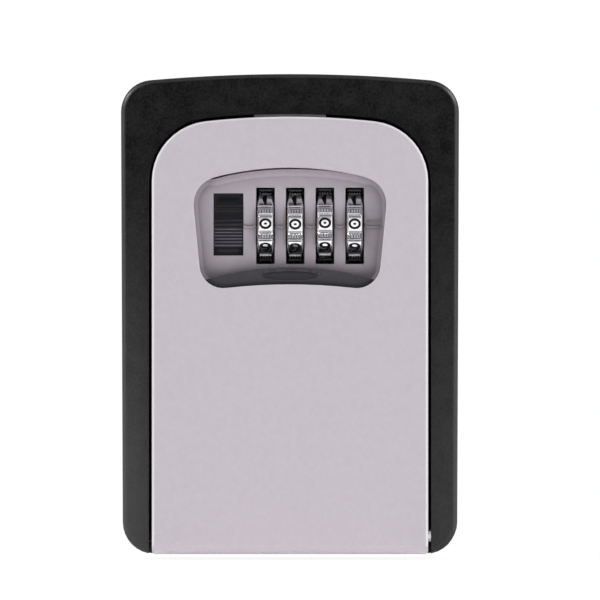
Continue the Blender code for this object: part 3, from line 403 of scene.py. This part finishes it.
def moulded_plastic(
    name, dark, light, grain_mm, rough_low, rough_high, depth_mm=0.01, specular=0.5, painted_light_band=None, rim=None
):
    """Moulded plastic: spark-eroded grain, and a slight polish where fingers rub.

    rubbed gives a paler colour, painted on as light, and the heights in mm between which it lies. It fades below.
    rim gives a painted highlight, a paler colour on the edges, and painted shade, a darker colour in the hollows.
    """
    look = Look(name)
    look.shader.inputs["Specular IOR Level"].default_value = specular
    grain = look.noise(grain_mm, 3.0, 0.6)
    rub = look.noise(6.0, 2.0)
    tone = look.mix(look.span(grain, 0.3, 0.7), dark, light)
    # Painted light: a paler band between the given heights.
    if painted_light_band is not None:
        paler, low, high = painted_light_band
        streak = look.noise(0.5, 3.0, 0.6, look.stretch((0.2, 1.0, 1.0)))
        above = look.along("Z", low - 2.6, low + 0.1)
        share = look.math("MULTIPLY", above, look.along("Z", high + 0.5, high - 0.5))
        tone = look.mix(look.math("MULTIPLY", share, look.span(streak, 0.3, 0.6, 0.7, 1.0)), tone, paler)
    # Painted shade in the hollows and a painted highlight on the edges.
    if rim is not None:
        crest_highlight_tone, hollow_shade_tone = rim
        tone = look.mix(look.span(look.hollows(1.5), 0.97, 0.75), tone, hollow_shade_tone)
        tone = look.mix(look.math("MULTIPLY", look.edges(0.25), 0.8), tone, crest_highlight_tone)
    shine = look.span(look.math("ADD", grain, rub), 0.75, 1.25, rough_low, rough_high)
    polish = look.math("MULTIPLY", look.edges(0.2), -0.12)
    return look.finish(tone, look.math("ADD", shine, polish), 0.0, look.bump(grain, depth_mm, 0.6))


# The black coat carries painted light, paler towards its foot and its left.
BLACK = powder_coat(
    "black_powder_coat", (0.0003, 0.0003, 0.0004), (0.013, 0.013, 0.0135), (0.10, 0.10, 0.10),
    0.65, 0.07, (0.36, 0.54),
    # A painted highlight on the rounded front edges.
    specular=0.11, tint=(0.057, 0.057, 0.057), rounded=((0.012, 0.012, 0.012), 0.75),
)
# The grey coat carries a painted highlight on its rounded front edges.
GREY = powder_coat(
    "grey_powder_coat", (0.532, 0.482, 0.531), (0.570, 0.520, 0.568), (0.75, 0.73, 0.75),
    0.3, 0.015, (0.42, 0.58),
    rounded=((0.80, 0.79, 0.82), 0.5),
)
# The bay carries painted shade where walls stand close and towards its foot.
BAY = powder_coat(
    "grey_satin_bay", (0.475, 0.424, 0.472), (0.525, 0.475, 0.522), (0.55, 0.53, 0.55),
    0.35, 0.012, (0.40, 0.55),
    painted_shade=(0.225, 0.188, 0.222), dark_walls=((0.012, 0.012, 0.013), BAY_FLOOR + 0.12, -31.0),
)
# Its grooves are darkened to black, and painted shade darkens it deep in the dial slots.
CHROME = plated("chrome_plate", (0.92, 0.92, 0.94), (0.80, 0.80, 0.83), 0.08, 0.24, dark_groove_mm=0.8)
STEEL = plated("zinc_plated_steel", (0.66, 0.67, 0.70), (0.52, 0.53, 0.52), 0.22, 0.42)
# Darker towards its left end.
HINGE_STEEL = plated("hinge_steel", (0.86, 0.86, 0.88), (0.75, 0.75, 0.76), 0.22, 0.38, darkened_span=(-28, -32))
# Brass darkened nearly to black, so the hubs show dark in the gaps beside the dials.
BRASS = cast_metal("dark_brass", (0.20, 0.14, 0.06), (0.13, 0.09, 0.04), 0.3, 0.5)
ZINC = cast_metal("die_cast_zinc", (0.50, 0.50, 0.51), (0.40, 0.40, 0.42), 0.38, 0.55)
BLACK_PLASTIC = moulded_plastic(
    "black_plastic", (0.006, 0.006, 0.007), (0.013, 0.013, 0.015), 0.25, 0.4, 0.55
)
# The slider carries painted light on its pad's lower part, a painted highlight on its edges and painted shade in
# its hollows.
SLIDER_PLASTIC = moulded_plastic(
    "slider_plastic", (0.0035, 0.0035, 0.005), (0.008, 0.008, 0.010), 0.25, 0.5, 0.65, 0.01, 0.11,
    painted_light_band=((0.150, 0.140, 0.170), 16.84, 22.0), rim=((0.125, 0.118, 0.138), (0.026, 0.024, 0.029)),
)
# The shutter carries painted shade in its hollows and a painted highlight on its edges.
SHUTTER_PLASTIC = moulded_plastic(
    "dark_grey_plastic", (0.040, 0.036, 0.044), (0.056, 0.051, 0.061), 0.3, 0.42, 0.56, 0.012, 0.3,
    rim=((0.15, 0.145, 0.165), (0.018, 0.018, 0.022)),
)
INK = moulded_plastic(
    "black_enamel", (0.002, 0.002, 0.002), (0.006, 0.006, 0.007), 0.2, 0.3, 0.45, 0.004, 0.12
)

SLOT_LOOKS = {
    "black_paint": BLACK,
    "grey_paint": GREY,
    "cast_zinc": ZINC,
    "chrome": CHROME,
    "steel": STEEL,
    "black_plastic": BLACK_PLASTIC,
    "dark_plastic": SHUTTER_PLASTIC,
    "brass": BRASS,
}
slot_of_node = {part["node"]: part["material_slot"] for part in frame["record"]["subparts"]}


# ---------------------------------------------------------------- mesh helpers


def link_piece(name, shape, material):
    mesh = bpy.data.meshes.new(name)
    shape.to_mesh(mesh)
    shape.free()
    mesh.materials.append(material)
    mesh.shade_smooth()
    piece = bpy.data.objects.new(name, mesh)
    bpy.context.scene.collection.objects.link(piece)
    return piece


def stand_in(piece, node):
    """Hangs piece on the body of a CAD node, and shows it instead of that node."""
    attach(piece, node_body[node])
    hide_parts(node)
    return piece


def connected(edges):
    """Splits edges into groups that touch one another, in the order in which the mesh holds them."""
    left = dict.fromkeys(edges)
    groups = []
    while left:
        first, _ = left.popitem()
        group = [first]
        for edge in group:
            for vert in edge.verts:
                for near in vert.link_edges:
                    if near in left:
                        del left[near]
                        group.append(near)
        groups.append(group)
    return groups


def cad_shape(node):
    """A CAD node's own form as one closed mesh."""
    shape = bmesh.new()
    shape.from_mesh(frame["nodes"][node].data)
    bmesh.ops.remove_doubles(shape, verts=shape.verts, dist=1e-6)
    return shape


def merge_flats(shape):
    bmesh.ops.remove_doubles(shape, verts=shape.verts, dist=1e-6)
    bmesh.ops.dissolve_limit(shape, angle_limit=math.radians(0.4), verts=shape.verts, edges=shape.edges)


def break_edges(shape, edge_mm, together):
    """Gives every sharp edge a small round. Small features keep narrower ones, unless all go together."""
    group_of = shape.edges.layers.int.new("edge_group")
    sharp = math.radians(SHARP_EDGE)
    sharp_edges = [e for e in shape.edges if len(e.link_faces) == 2 and e.calc_face_angle() > sharp]
    groups = [sharp_edges] if together else connected(sharp_edges)
    for number, group in enumerate(groups, 1):
        for edge in group:
            edge[group_of] = number
    for number in range(1, len(groups) + 1):
        group = [edge for edge in shape.edges if edge[group_of] == number]
        rounding = {"offset": edge_mm * MM, "segments": EDGE_STEPS, "profile": 0.5}
        bmesh.ops.bevel(shape, geom=group, affect="EDGES", clamp_overlap=not together, **rounding)
    shape.edges.layers.int.remove(group_of)
    bmesh.ops.dissolve_degenerate(shape, dist=1e-6, edges=shape.edges)


def show(shape, name, material):
    """Turns a shape into a piece whose flats stay flat and whose small rounds shade smoothly."""
    bmesh.ops.recalc_face_normals(shape, faces=shape.faces)
    piece = link_piece(name, shape, material)
    piece.data.set_sharp_from_angle(angle=math.radians(SHARP_SHADING))
    weighted = piece.modifiers.new("weighted_normals", "WEIGHTED_NORMAL")
    weighted.keep_sharp = True
    weighted.weight = 80
    return piece


def eased_shape(node, edge_mm, together=False):
    """A CAD node's own form with its edges broken."""
    shape = cad_shape(node)
    merge_flats(shape)
    break_edges(shape, edge_mm, together)
    return shape


def eased(node, edge_mm, together=False, look=None):
    """A CAD node with its edges broken, in its own finish unless a look is given."""
    shape = eased_shape(node, edge_mm, together)
    return stand_in(show(shape, node + "_fine", look or SLOT_LOOKS[slot_of_node[node]]), node)


def union(name, shapes):
    """One closed shape from several that overlap. The joining is done in millimetres, to keep it exact."""
    objects = []
    for i, shape in enumerate(shapes):
        bmesh.ops.scale(shape, vec=(1 / MM, 1 / MM, 1 / MM), verts=shape.verts)
        bmesh.ops.triangulate(shape, faces=shape.faces)
        bmesh.ops.recalc_face_normals(shape, faces=shape.faces)
        mesh = bpy.data.meshes.new(f"{name}_{i}")
        shape.to_mesh(mesh)
        shape.free()
        made = bpy.data.objects.new(f"{name}_{i}", mesh)
        bpy.context.scene.collection.objects.link(made)
        objects.append(made)
    whole = objects[0]
    for tool in objects[1:]:
        joint = whole.modifiers.new("join", "BOOLEAN")
        joint.operation = "UNION"
        joint.solver = "EXACT"
        joint.object = tool
    depsgraph = bpy.context.evaluated_depsgraph_get()
    result = bmesh.new()
    result.from_mesh(bpy.data.meshes.new_from_object(whole.evaluated_get(depsgraph)))
    for made in objects:
        bpy.data.objects.remove(made, do_unlink=True)
    bmesh.ops.remove_doubles(result, verts=result.verts, dist=JOIN_DISTANCE)
    bmesh.ops.scale(result, vec=(MM, MM, MM), verts=result.verts)
    return result


def swept_ring(outline, section):
    """A closed ring. outline gives a loop of points (x, z) at an offset. section is pairs of offset and y."""
    shape = bmesh.new()
    loops = []
    for offset, y in section:
        loops.append([shape.verts.new((x * MM, y * MM, z * MM)) for x, z in outline(offset)])
    for i, loop in enumerate(loops):
        following = loops[(i + 1) % len(loops)]
        for k, vert in enumerate(loop):
            m = (k + 1) % len(loop)
            shape.faces.new((vert, loop[m], following[m], following[k]))
    return shape


def bead(path, y, half_width, height):
    """A low rounded bead that runs along path, points (x, z), on a face at y."""
    shape = bmesh.new()
    rings = []
    last = len(path) - 1
    for i, (x, z) in enumerate(path):
        before, after = path[max(i - 1, 0)], path[min(i + 1, last)]
        along = Vector((after[0] - before[0], after[1] - before[1])).normalized()
        taper = BEAD_TIP if i in (0, last) else 1.0
        ring = []
        for k in range(BEAD_SIDES):
            turn = 2 * math.pi * (k + 0.5) / BEAD_SIDES
            aside = half_width * taper * math.cos(turn)
            out = height * taper * math.sin(turn)
            ring.append(shape.verts.new(Vector((x - along.y * aside, y - out, z + along.x * aside)) * MM))
        rings.append(ring)
    for near, far in zip(rings, rings[1:]):
        for k in range(BEAD_SIDES):
            m = (k + 1) % BEAD_SIDES
            shape.faces.new((near[k], near[m], far[m], far[k]))
    shape.faces.new(rings[0])
    shape.faces.new(rings[-1])
    return shape


def arc(centre, radius, start, end, steps):
    """Points on an arc, in degrees counted from +X towards +Z."""
    turns = [math.radians(start + (end - start) * i / steps) for i in range(steps + 1)]
    return [(centre[0] + radius * math.cos(turn), centre[1] + radius * math.sin(turn)) for turn in turns]


# ---------------------------------------------------------------- bay


def bowed(half_width, middle, radius, steps):
    spread = math.degrees(math.asin(half_width / radius))
    return arc((0, middle - radius), radius, 90 + spread, 90 - spread, steps)


def rounded_corner(before, corner, after, radius, steps):
    """An arc that touches both lines through corner."""
    corner = Vector(corner)
    to_before = (Vector(before) - corner).normalized()
    to_after = (Vector(after) - corner).normalized()
    half = to_before.angle(to_after) / 2
    centre = corner + (to_before + to_after).normalized() * (radius / math.sin(half))
    first = corner + to_before * (radius / math.tan(half)) - centre
    last = corner + to_after * (radius / math.tan(half)) - centre
    sweep = first.angle_signed(last)
    points = []
    for i in range(steps + 1):
        turned = first.copy()
        turned.rotate(Matrix.Rotation(-sweep * i / steps, 2))
        points.append(tuple(centre + turned))
    return points


def window_loop():
    """The window's outline, clockwise from the left end of its bowed top edge."""
    top = bowed(*WINDOW_TOP_BOW, 24)
    low = [(-x, z) for x, z in bowed(*WINDOW_LOW_BOW, 24)]
    top_z, top_radius = WINDOW_TOP_CORNER
    low_z, low_radius = WINDOW_LOW_CORNER
    top_right, low_right = (WINDOW_TOP_HALF, top_z), (WINDOW_LOW_HALF, low_z)
    top_left, low_left = (-WINDOW_TOP_HALF, top_z), (-WINDOW_LOW_HALF, low_z)
    points = top[1:-1]
    points += rounded_corner(top[-1], top_right, low_right, top_radius, 16)
    points += rounded_corner(top_right, low_right, low[0], low_radius, 16)
    points += low[1:-1]
    points += rounded_corner(low[-1], low_left, top_left, low_radius, 16)
    points += rounded_corner(low_left, top_left, top[0], top_radius, 16)
    return points


def bay_outline(offset):
    """The window's outline moved outwards by offset, and lowered under its top edge, most on the left."""
    loop = window_loop()
    count = len(loop)
    moved = []
    for i, (x, z) in enumerate(loop):
        before, after = loop[i - 1], loop[(i + 1) % count]
        along = Vector((after[0] - before[0], after[1] - before[1])).normalized()
        upward = max(0.0, along.x)
        gap = (DISH_TOP_GAP + DISH_OVERLAP) * smooth_step(0.80, 0.97, upward) * smooth_step(20.0, 30.0, z)
        gap *= 1.0 - DISH_TOP_NARROWING * smooth_step(0.0, 20.0, x)
        shift = offset - gap
        moved.append((x - along.y * shift, z + along.x * shift))
    return moved


def dish():
    """The concave wall that rises from the bay's floor to a thin rim behind the window's edge."""
    back = BAY_FLOOR + DISH_BACK
    outer = DISH_OVERLAP + RIM_OUTER
    section = [(outer, back), (outer, BAY_RIM + RIM_CHAMFER), (DISH_OVERLAP + RIM_FLAT, BAY_RIM)]
    wide = DISH_REACH
    tall = BAY_FLOOR - BAY_RIM + DISH_SINK
    for i in range(DISH_STEPS + 1):
        turn = math.pi / 2 * i / DISH_STEPS
        section.append((DISH_OVERLAP - wide + wide * math.cos(turn), BAY_RIM + tall * math.sin(turn)))
    section.append((DISH_OVERLAP - wide - DISH_SKIRT, back))
    return swept_ring(bay_outline, section)


def index_path(left, right, curl_right=True):
    """A level line that turns up at its left end and, beside a slot, at its right end too."""
    path = arc((left + BEAD_CURL, BEAD_Z + BEAD_CURL), BEAD_CURL, 190, 260, 7)
    path += [(left + (right - left) * share, BEAD_Z) for share in (0.35, 0.5, 0.65)]
    if curl_right:
        path += arc((right - BEAD_CURL, BEAD_Z + BEAD_CURL), BEAD_CURL, 280, 350, 7)
    else:
        path.append((right, BEAD_Z))
    return path


def make_bay():
    """The dial housing with its dished bay and index line."""
    centres = [joint_by_name[f"dial_{n}_spin"]["pos_m"][0] / MM for n in (1, 2, 3, 4)]
    paths = []
    left = SLIDER_SLOT_RIGHT + SLOT_MARGIN
    for x in centres:
        paths.append(index_path(left, x - SLOT_HALF_WIDTH - SLOT_MARGIN))
        left = x + SLOT_HALF_WIDTH + SLOT_MARGIN
    paths.append(index_path(left, BAY_RIGHT, curl_right=False))
    beads = [bead(path, BAY_FLOOR, BEAD_HALF, BEAD_HEIGHT) for path in paths]
    upper = [(left + 0.5, UPPER_BEAD_Z), (left + 2.0, UPPER_BEAD_Z), (BAY_RIGHT, UPPER_BEAD_Z)]
    width_share, height_share = UPPER_BEAD_SHARE
    beads.append(bead(upper, BAY_FLOOR, BEAD_HALF * width_share, BEAD_HEIGHT * height_share))
    shape = union("bay", [eased_shape("dial_housing", HOUSING_EDGE, together=True), dish(), *beads])
    return stand_in(show(shape, "dial_housing_fine", BAY), "dial_housing")


def make_shutter():
    """The shutter, with a fine raised lip over its thumb recess and a curl beyond each end of it."""
    wide, tall = RECESS_HALF[0] + LIP_HALF, RECESS_HALF[1] + LIP_HALF
    turns = [math.radians(LIP_START - LIP_SWEEP * i / LIP_STEPS) for i in range(LIP_STEPS + 1)]
    lip = [(wide * math.cos(turn), RECESS_CENTRE_Z + tall * math.sin(turn)) for turn in turns]
    marks = [lip]
    for side in (-1, 1):
        curl = arc((wide - CURL_INSET, RECESS_CENTRE_Z + CURL_RISE), CURL_RADIUS, *CURL_TURNS, 8)
        marks.append([(side * x, z) for x, z in curl])
    beads = [bead(path, SHUTTER_FACE, LIP_HALF, LIP_HEIGHT) for path in marks]
    shape = union("shutter", [eased_shape("shutter", HOUSING_EDGE, together=True), *beads])
    return stand_in(show(shape, "shutter_fine", SHUTTER_PLASTIC), "shutter")


def make_spring(spring):
    """A coil spring: the CAD node's coil, smoothed and hung on its body, with a mesh of its own."""
    node = spring["node"]
    piece = link_piece(node + "_fine", cad_shape(node), SLOT_LOOKS[slot_of_node[node]])
    smooth = piece.modifiers.new("smooth", "SUBSURF")
    smooth.levels = smooth.render_levels = 1
    stand_in(piece, node)
    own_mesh(piece)


# ---------------------------------------------------------------- dials


def smooth_step(low, high, value):
    share = min(1.0, max(0.0, (value - low) / (high - low)))
    return share * share * (3 - 2 * share)


def dial_radius(angle, across):
    """The dial's outer radius at an angle round it and a place across it (-1 to 1).

    Each digit has a smooth pad. Between pads a notched rib stands in a groove.
    """
    from_pad = abs((angle + DIGIT_STEP / 2) % DIGIT_STEP - DIGIT_STEP / 2)
    from_rib = DIGIT_STEP / 2 - from_pad
    slope = math.radians(1.3)
    radius = GROOVE_RADIUS
    sag = PAD_RADIUS * (1 - math.cos(PAD_HALF) / math.cos(min(from_pad, PAD_HALF)))
    pad = PAD_RADIUS - PAD_FLATNESS * sag
    radius += (pad - GROOVE_RADIUS) * (1 - smooth_step(PAD_HALF, PAD_HALF + slope, from_pad))
    notch = 0.5 + 0.5 * math.cos(math.pi * RIB_NOTCHES * (across + 1))
    top = RIB_RADIUS - 0.3 * notch
    radius += (top - GROOVE_RADIUS) * (1 - smooth_step(RIB_HALF - slope, RIB_HALF, from_rib))
    return radius


def make_dial(number):
    """One number wheel: a grid of points round and across it, closed by its sides and bore."""
    lean = math.radians(DIAL_LEANS[number - 1])
    node = f"dial_{number}"
    low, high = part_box(node)
    joint = joint_by_name[f"dial_{number}_spin"]
    centre = Vector(joint["pos_m"])
    half = (high.x - low.x) / 2
    inner = half - DIAL_CHAMFER * MM
    steps = RIB_NOTCHES * STATIONS_PER_NOTCH
    stations = [-1.0, *(-1.0 + 2.0 * i / steps for i in range(steps + 1)), 1.0]
    count = DIGITS * SAMPLES_PER_DIGIT
    shape = bmesh.new()
    rings = []
    for i, across in enumerate(stations):
        on_end = i in (0, len(stations) - 1)
        x = across * (half if on_end else inner)
        ring = []
        for k in range(count):
            angle = 2 * math.pi * k / count
            radius = dial_radius(angle, across) - (DIAL_CHAMFER if on_end else 0.0)
            turn = angle + lean
            spot = Vector((x, -radius * MM * math.cos(turn), radius * MM * math.sin(turn)))
            ring.append(shape.verts.new(centre + spot))
        rings.append(ring)
    for x in (half, -half):
        ring = []
        for k in range(count):
            turn = 2 * math.pi * k / count + lean
            spot = Vector((x, -DIAL_BORE * MM * math.cos(turn), DIAL_BORE * MM * math.sin(turn)))
            ring.append(shape.verts.new(centre + spot))
        rings.append(ring)
    for i, ring in enumerate(rings):
        following = rings[(i + 1) % len(rings)]
        for k in range(count):
            m = (k + 1) % count
            shape.faces.new((ring[k], ring[m], following[m], following[k]))
    bmesh.ops.recalc_face_normals(shape, faces=shape.faces)
    piece = link_piece(f"dial_{number}_wheel", shape, CHROME)
    piece.data.set_sharp_from_angle(angle=math.radians(DIAL_SHADING))
    stand_in(piece, node)
    make_digits(number, centre, lean)


def ellipse(shape, width_mm, height_mm, steps=48):
    ring = []
    for k in range(steps):
        turn = 2 * math.pi * k / steps
        spot = (width_mm / 2 * MM * math.cos(turn), height_mm / 2 * MM * math.sin(turn), 0.0)
        ring.append(shape.verts.new(spot))
    return ring


def zero_shape():
    """A round zero with a small dot in the middle, a painted reflection of the camera, as flat faces centred on
    the origin, in metres.
    """
    shape = bmesh.new()
    width, height = ZERO_SIZE
    outer = ellipse(shape, width, height)
    inner = ellipse(shape, width - 2 * ZERO_STROKE, height - 2 * ZERO_STROKE)
    for k, vert in enumerate(outer):
        m = (k + 1) % len(outer)
        shape.faces.new((vert, outer[m], inner[m], inner[k]))
    # Painted reflection of the camera, in black ink.
    shape.faces.new(ellipse(shape, *CAMERA_REFLECTION_DOT, 16))
    return shape


def one_shape():
    """A narrow one with a flag, as flat faces centred on the origin, in metres."""
    shape = bmesh.new()
    shape.faces.new([shape.verts.new((x * MM, z * MM, 0.0)) for x, z in ONE])
    bmesh.ops.triangulate(shape, faces=shape.faces)
    return shape


def digit_shape(text):
    """A digit's outline as flat faces in the XY plane, centred on the origin, in metres."""
    data = bpy.data.curves.new("digit", "FONT")
    data.body = text
    data.size = 1.0
    data.offset = DIGIT_WEIGHT
    data.resolution_u = 6
    obj = bpy.data.objects.new("digit", data)
    bpy.context.scene.collection.objects.link(obj)
    bpy.context.view_layer.update()
    shape = bmesh.new()
    shape.from_mesh(obj.evaluated_get(bpy.context.evaluated_depsgraph_get()).to_mesh())
    bpy.data.objects.remove(obj, do_unlink=True)
    low = Vector([min(v.co[i] for v in shape.verts) for i in range(3)])
    high = Vector([max(v.co[i] for v in shape.verts) for i in range(3)])
    middle = (low + high) / 2
    across = DIGIT_WIDTH * MM / (high.x - low.x)
    along = DIGIT_HEIGHT * MM / (high.y - low.y)
    for vert in shape.verts:
        vert.co = Vector(((vert.co.x - middle.x) * across, (vert.co.y - middle.y) * along, 0.0))
    return shape


def make_digits(number, centre, lean):
    """Ten black digits, wrapped round the dial and standing a hair above its pads."""
    whole = bmesh.new()
    for value in range(DIGITS):
        if value == 0:
            shape = zero_shape()
        elif value == 1:
            shape = one_shape()
        else:
            shape = digit_shape(str(value))
        bmesh.ops.remove_doubles(shape, verts=shape.verts, dist=1e-7)
        for i in range(-DIGIT_SLICES, DIGIT_SLICES + 1):
            geometry = shape.verts[:] + shape.edges[:] + shape.faces[:]
            level = Vector((0, i * DIGIT_SLICE * MM, 0))
            bmesh.ops.bisect_plane(shape, geom=geometry, dist=1e-8, plane_co=level, plane_no=(0, 1, 0))
        made = bmesh.ops.extrude_face_region(shape, geom=shape.faces[:], use_keep_orig=True)
        lower = [v for v in made["geom"] if isinstance(v, bmesh.types.BMVert)]
        bmesh.ops.translate(shape, vec=(0, 0, -DIGIT_DEPTH * MM), verts=lower)
        for vert in shape.verts:
            from_middle = vert.co.y / (PAD_RADIUS * MM)
            radius = (dial_radius(from_middle, 0.0) + DIGIT_PROUD) * MM + vert.co.z
            angle = from_middle + lean + value * DIGIT_STEP
            vert.co = centre + Vector((vert.co.x, -radius * math.cos(angle), radius * math.sin(angle)))
        mesh = bpy.data.meshes.new("digit")
        shape.to_mesh(mesh)
        shape.free()
        whole.from_mesh(mesh)
        bpy.data.meshes.remove(mesh)
    bmesh.ops.recalc_face_normals(whole, faces=whole.faces)
    piece = link_piece(f"dial_{number}_digits", whole, INK)
    piece.data.set_sharp_from_angle(angle=math.radians(DIGIT_SHADING))
    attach(piece, f"dial_{number}_body")


# ---------------------------------------------------------------- stage


def make_floor():
    """A pale floor. Away from the box it fades into the white of the studio."""
    shape = bmesh.new()
    bmesh.ops.create_grid(shape, x_segments=1, y_segments=1, size=FLOOR_HALF)
    look = Look("pale_floor")
    tone = look.mix(look.noise(400.0), (0.90, 0.90, 0.90), (0.93, 0.93, 0.93))
    look.finish(tone, 0.8)
    look.shader.inputs["Specular IOR Level"].default_value = 0.0
    look.shader.inputs["Emission Color"].default_value = (1, 1, 1, 1)
    look.shader.inputs["Emission Strength"].default_value = FLOOR_GLOW
    nodes, links = look.nodes, look.links
    distance = nodes.new("ShaderNodeVectorMath")
    distance.operation = "LENGTH"
    links.new(look.place, distance.inputs[0])
    far = look.span(distance.outputs["Value"], FLOOR_CLEAR, FLOOR_WHITE, FLOOR_LEAST, 1.0)
    seen = nodes.new("ShaderNodeLightPath").outputs["Is Camera Ray"]
    glow = nodes.new("ShaderNodeEmission")
    glow.inputs["Strength"].default_value = WHITE
    blend = nodes.new("ShaderNodeMixShader")
    links.new(look.math("MULTIPLY", far, seen), blend.inputs["Fac"])
    links.new(look.shader.outputs["BSDF"], blend.inputs[1])
    links.new(glow.outputs["Emission"], blend.inputs[2])
    links.new(blend.outputs["Shader"], nodes["Material Output"].inputs["Surface"])
    floor = link_piece("floor", shape, look.material)
    floor.location.z = cad_bounds[0][2] - FLOOR_DROP * MM


def make_world():
    """White to the camera. To the object it is a soft room, dim overhead and underfoot."""
    world = bpy.data.worlds.new("studio")
    bpy.context.scene.world = world
    world.use_nodes = True
    nodes, links = world.node_tree.nodes, world.node_tree.links
    nodes.clear()
    white = nodes.new("ShaderNodeBackground")
    white.inputs["Color"].default_value = (1, 1, 1, 1)
    white.inputs["Strength"].default_value = WHITE
    split = nodes.new("ShaderNodeSeparateXYZ")
    links.new(nodes.new("ShaderNodeTexCoord").outputs["Generated"], split.inputs["Vector"])
    height = nodes.new("ShaderNodeMapRange")
    height.inputs["From Min"].default_value = -1.0
    height.inputs["From Max"].default_value = 1.0
    links.new(split.outputs["Z"], height.inputs["Value"])
    ramp = nodes.new("ShaderNodeValToRGB")
    ramp.color_ramp.interpolation = "EASE"
    stops = ramp.color_ramp.elements
    for stop, (_, radiance) in zip(stops, (ROOM[0], ROOM[-1])):
        stop.color = (radiance, radiance, radiance, 1)
    for level, radiance in ROOM[1:-1]:
        stop = stops.new((level + 1) / 2)
        stop.color = (radiance, radiance, radiance, 1)
    links.new(height.outputs["Result"], ramp.inputs["Fac"])
    studio = nodes.new("ShaderNodeBackground")
    links.new(ramp.outputs["Color"], studio.inputs["Color"])
    studio.inputs["Strength"].default_value = ROOM_STRENGTH
    choose = nodes.new("ShaderNodeMixShader")
    links.new(nodes.new("ShaderNodeLightPath").outputs["Is Camera Ray"], choose.inputs["Fac"])
    links.new(studio.outputs["Background"], choose.inputs[1])
    links.new(white.outputs["Background"], choose.inputs[2])
    output = nodes.new("ShaderNodeOutputWorld")
    links.new(choose.outputs["Shader"], output.inputs["Surface"])


def make_light(name, place, aim, width, height, watts):
    data = bpy.data.lights.new(name, "AREA")
    data.shape = "RECTANGLE"
    data.size = width
    data.size_y = height
    data.energy = watts
    light = bpy.data.objects.new(name, data)
    light.location = place
    light.visible_camera = False
    light.rotation_euler = (Vector(aim) - Vector(place)).to_track_quat("-Z", "Y").to_euler()
    bpy.context.scene.collection.objects.link(light)


def make_camera():
    data = bpy.data.cameras.new("camera")
    data.lens = LENS
    data.sensor_width = SENSOR
    data.clip_end = 50.0
    camera = bpy.data.objects.new("camera", data)
    front = cad_bounds[0][1]
    distance = VIEW_WIDTH * MM * LENS / SENSOR
    camera.location = (VIEW_OFFSET_X * MM, front - distance, VIEW_OFFSET_Z * MM)
    camera.rotation_euler = (math.radians(90), 0, 0)
    bpy.context.scene.collection.objects.link(camera)
    bpy.context.scene.camera = camera


# ---------------------------------------------------------------- build

for dial_number in (1, 2, 3, 4):
    make_dial(dial_number)

make_bay()
eased("case_body", CASTING_EDGE, together=True)
eased("front_cover", CASTING_EDGE, together=True)
make_shutter()
eased("opening_slider", SMALL_EDGE, look=SLIDER_PLASTIC)
eased("hinge_pin", CASTING_EDGE, look=HINGE_STEEL)
done = {"case_body", "front_cover", "dial_housing", "shutter", "opening_slider", "hinge_pin"}
done |= {"dial_1", "dial_2", "dial_3", "dial_4"}
for joint in frame["joints"]:
    for spring in joint.get("deforming_nodes", ()):
        make_spring(spring)
        done.add(spring["node"])
for node in frame["nodes"]:
    if node not in done:
        eased(node, SMALL_EDGE)

make_floor()
make_world()
for light in LIGHTS:
    make_light(*light)
make_camera()
bpy.context.scene.view_settings.view_transform = "Standard"
bpy.context.scene.view_settings.look = "None"
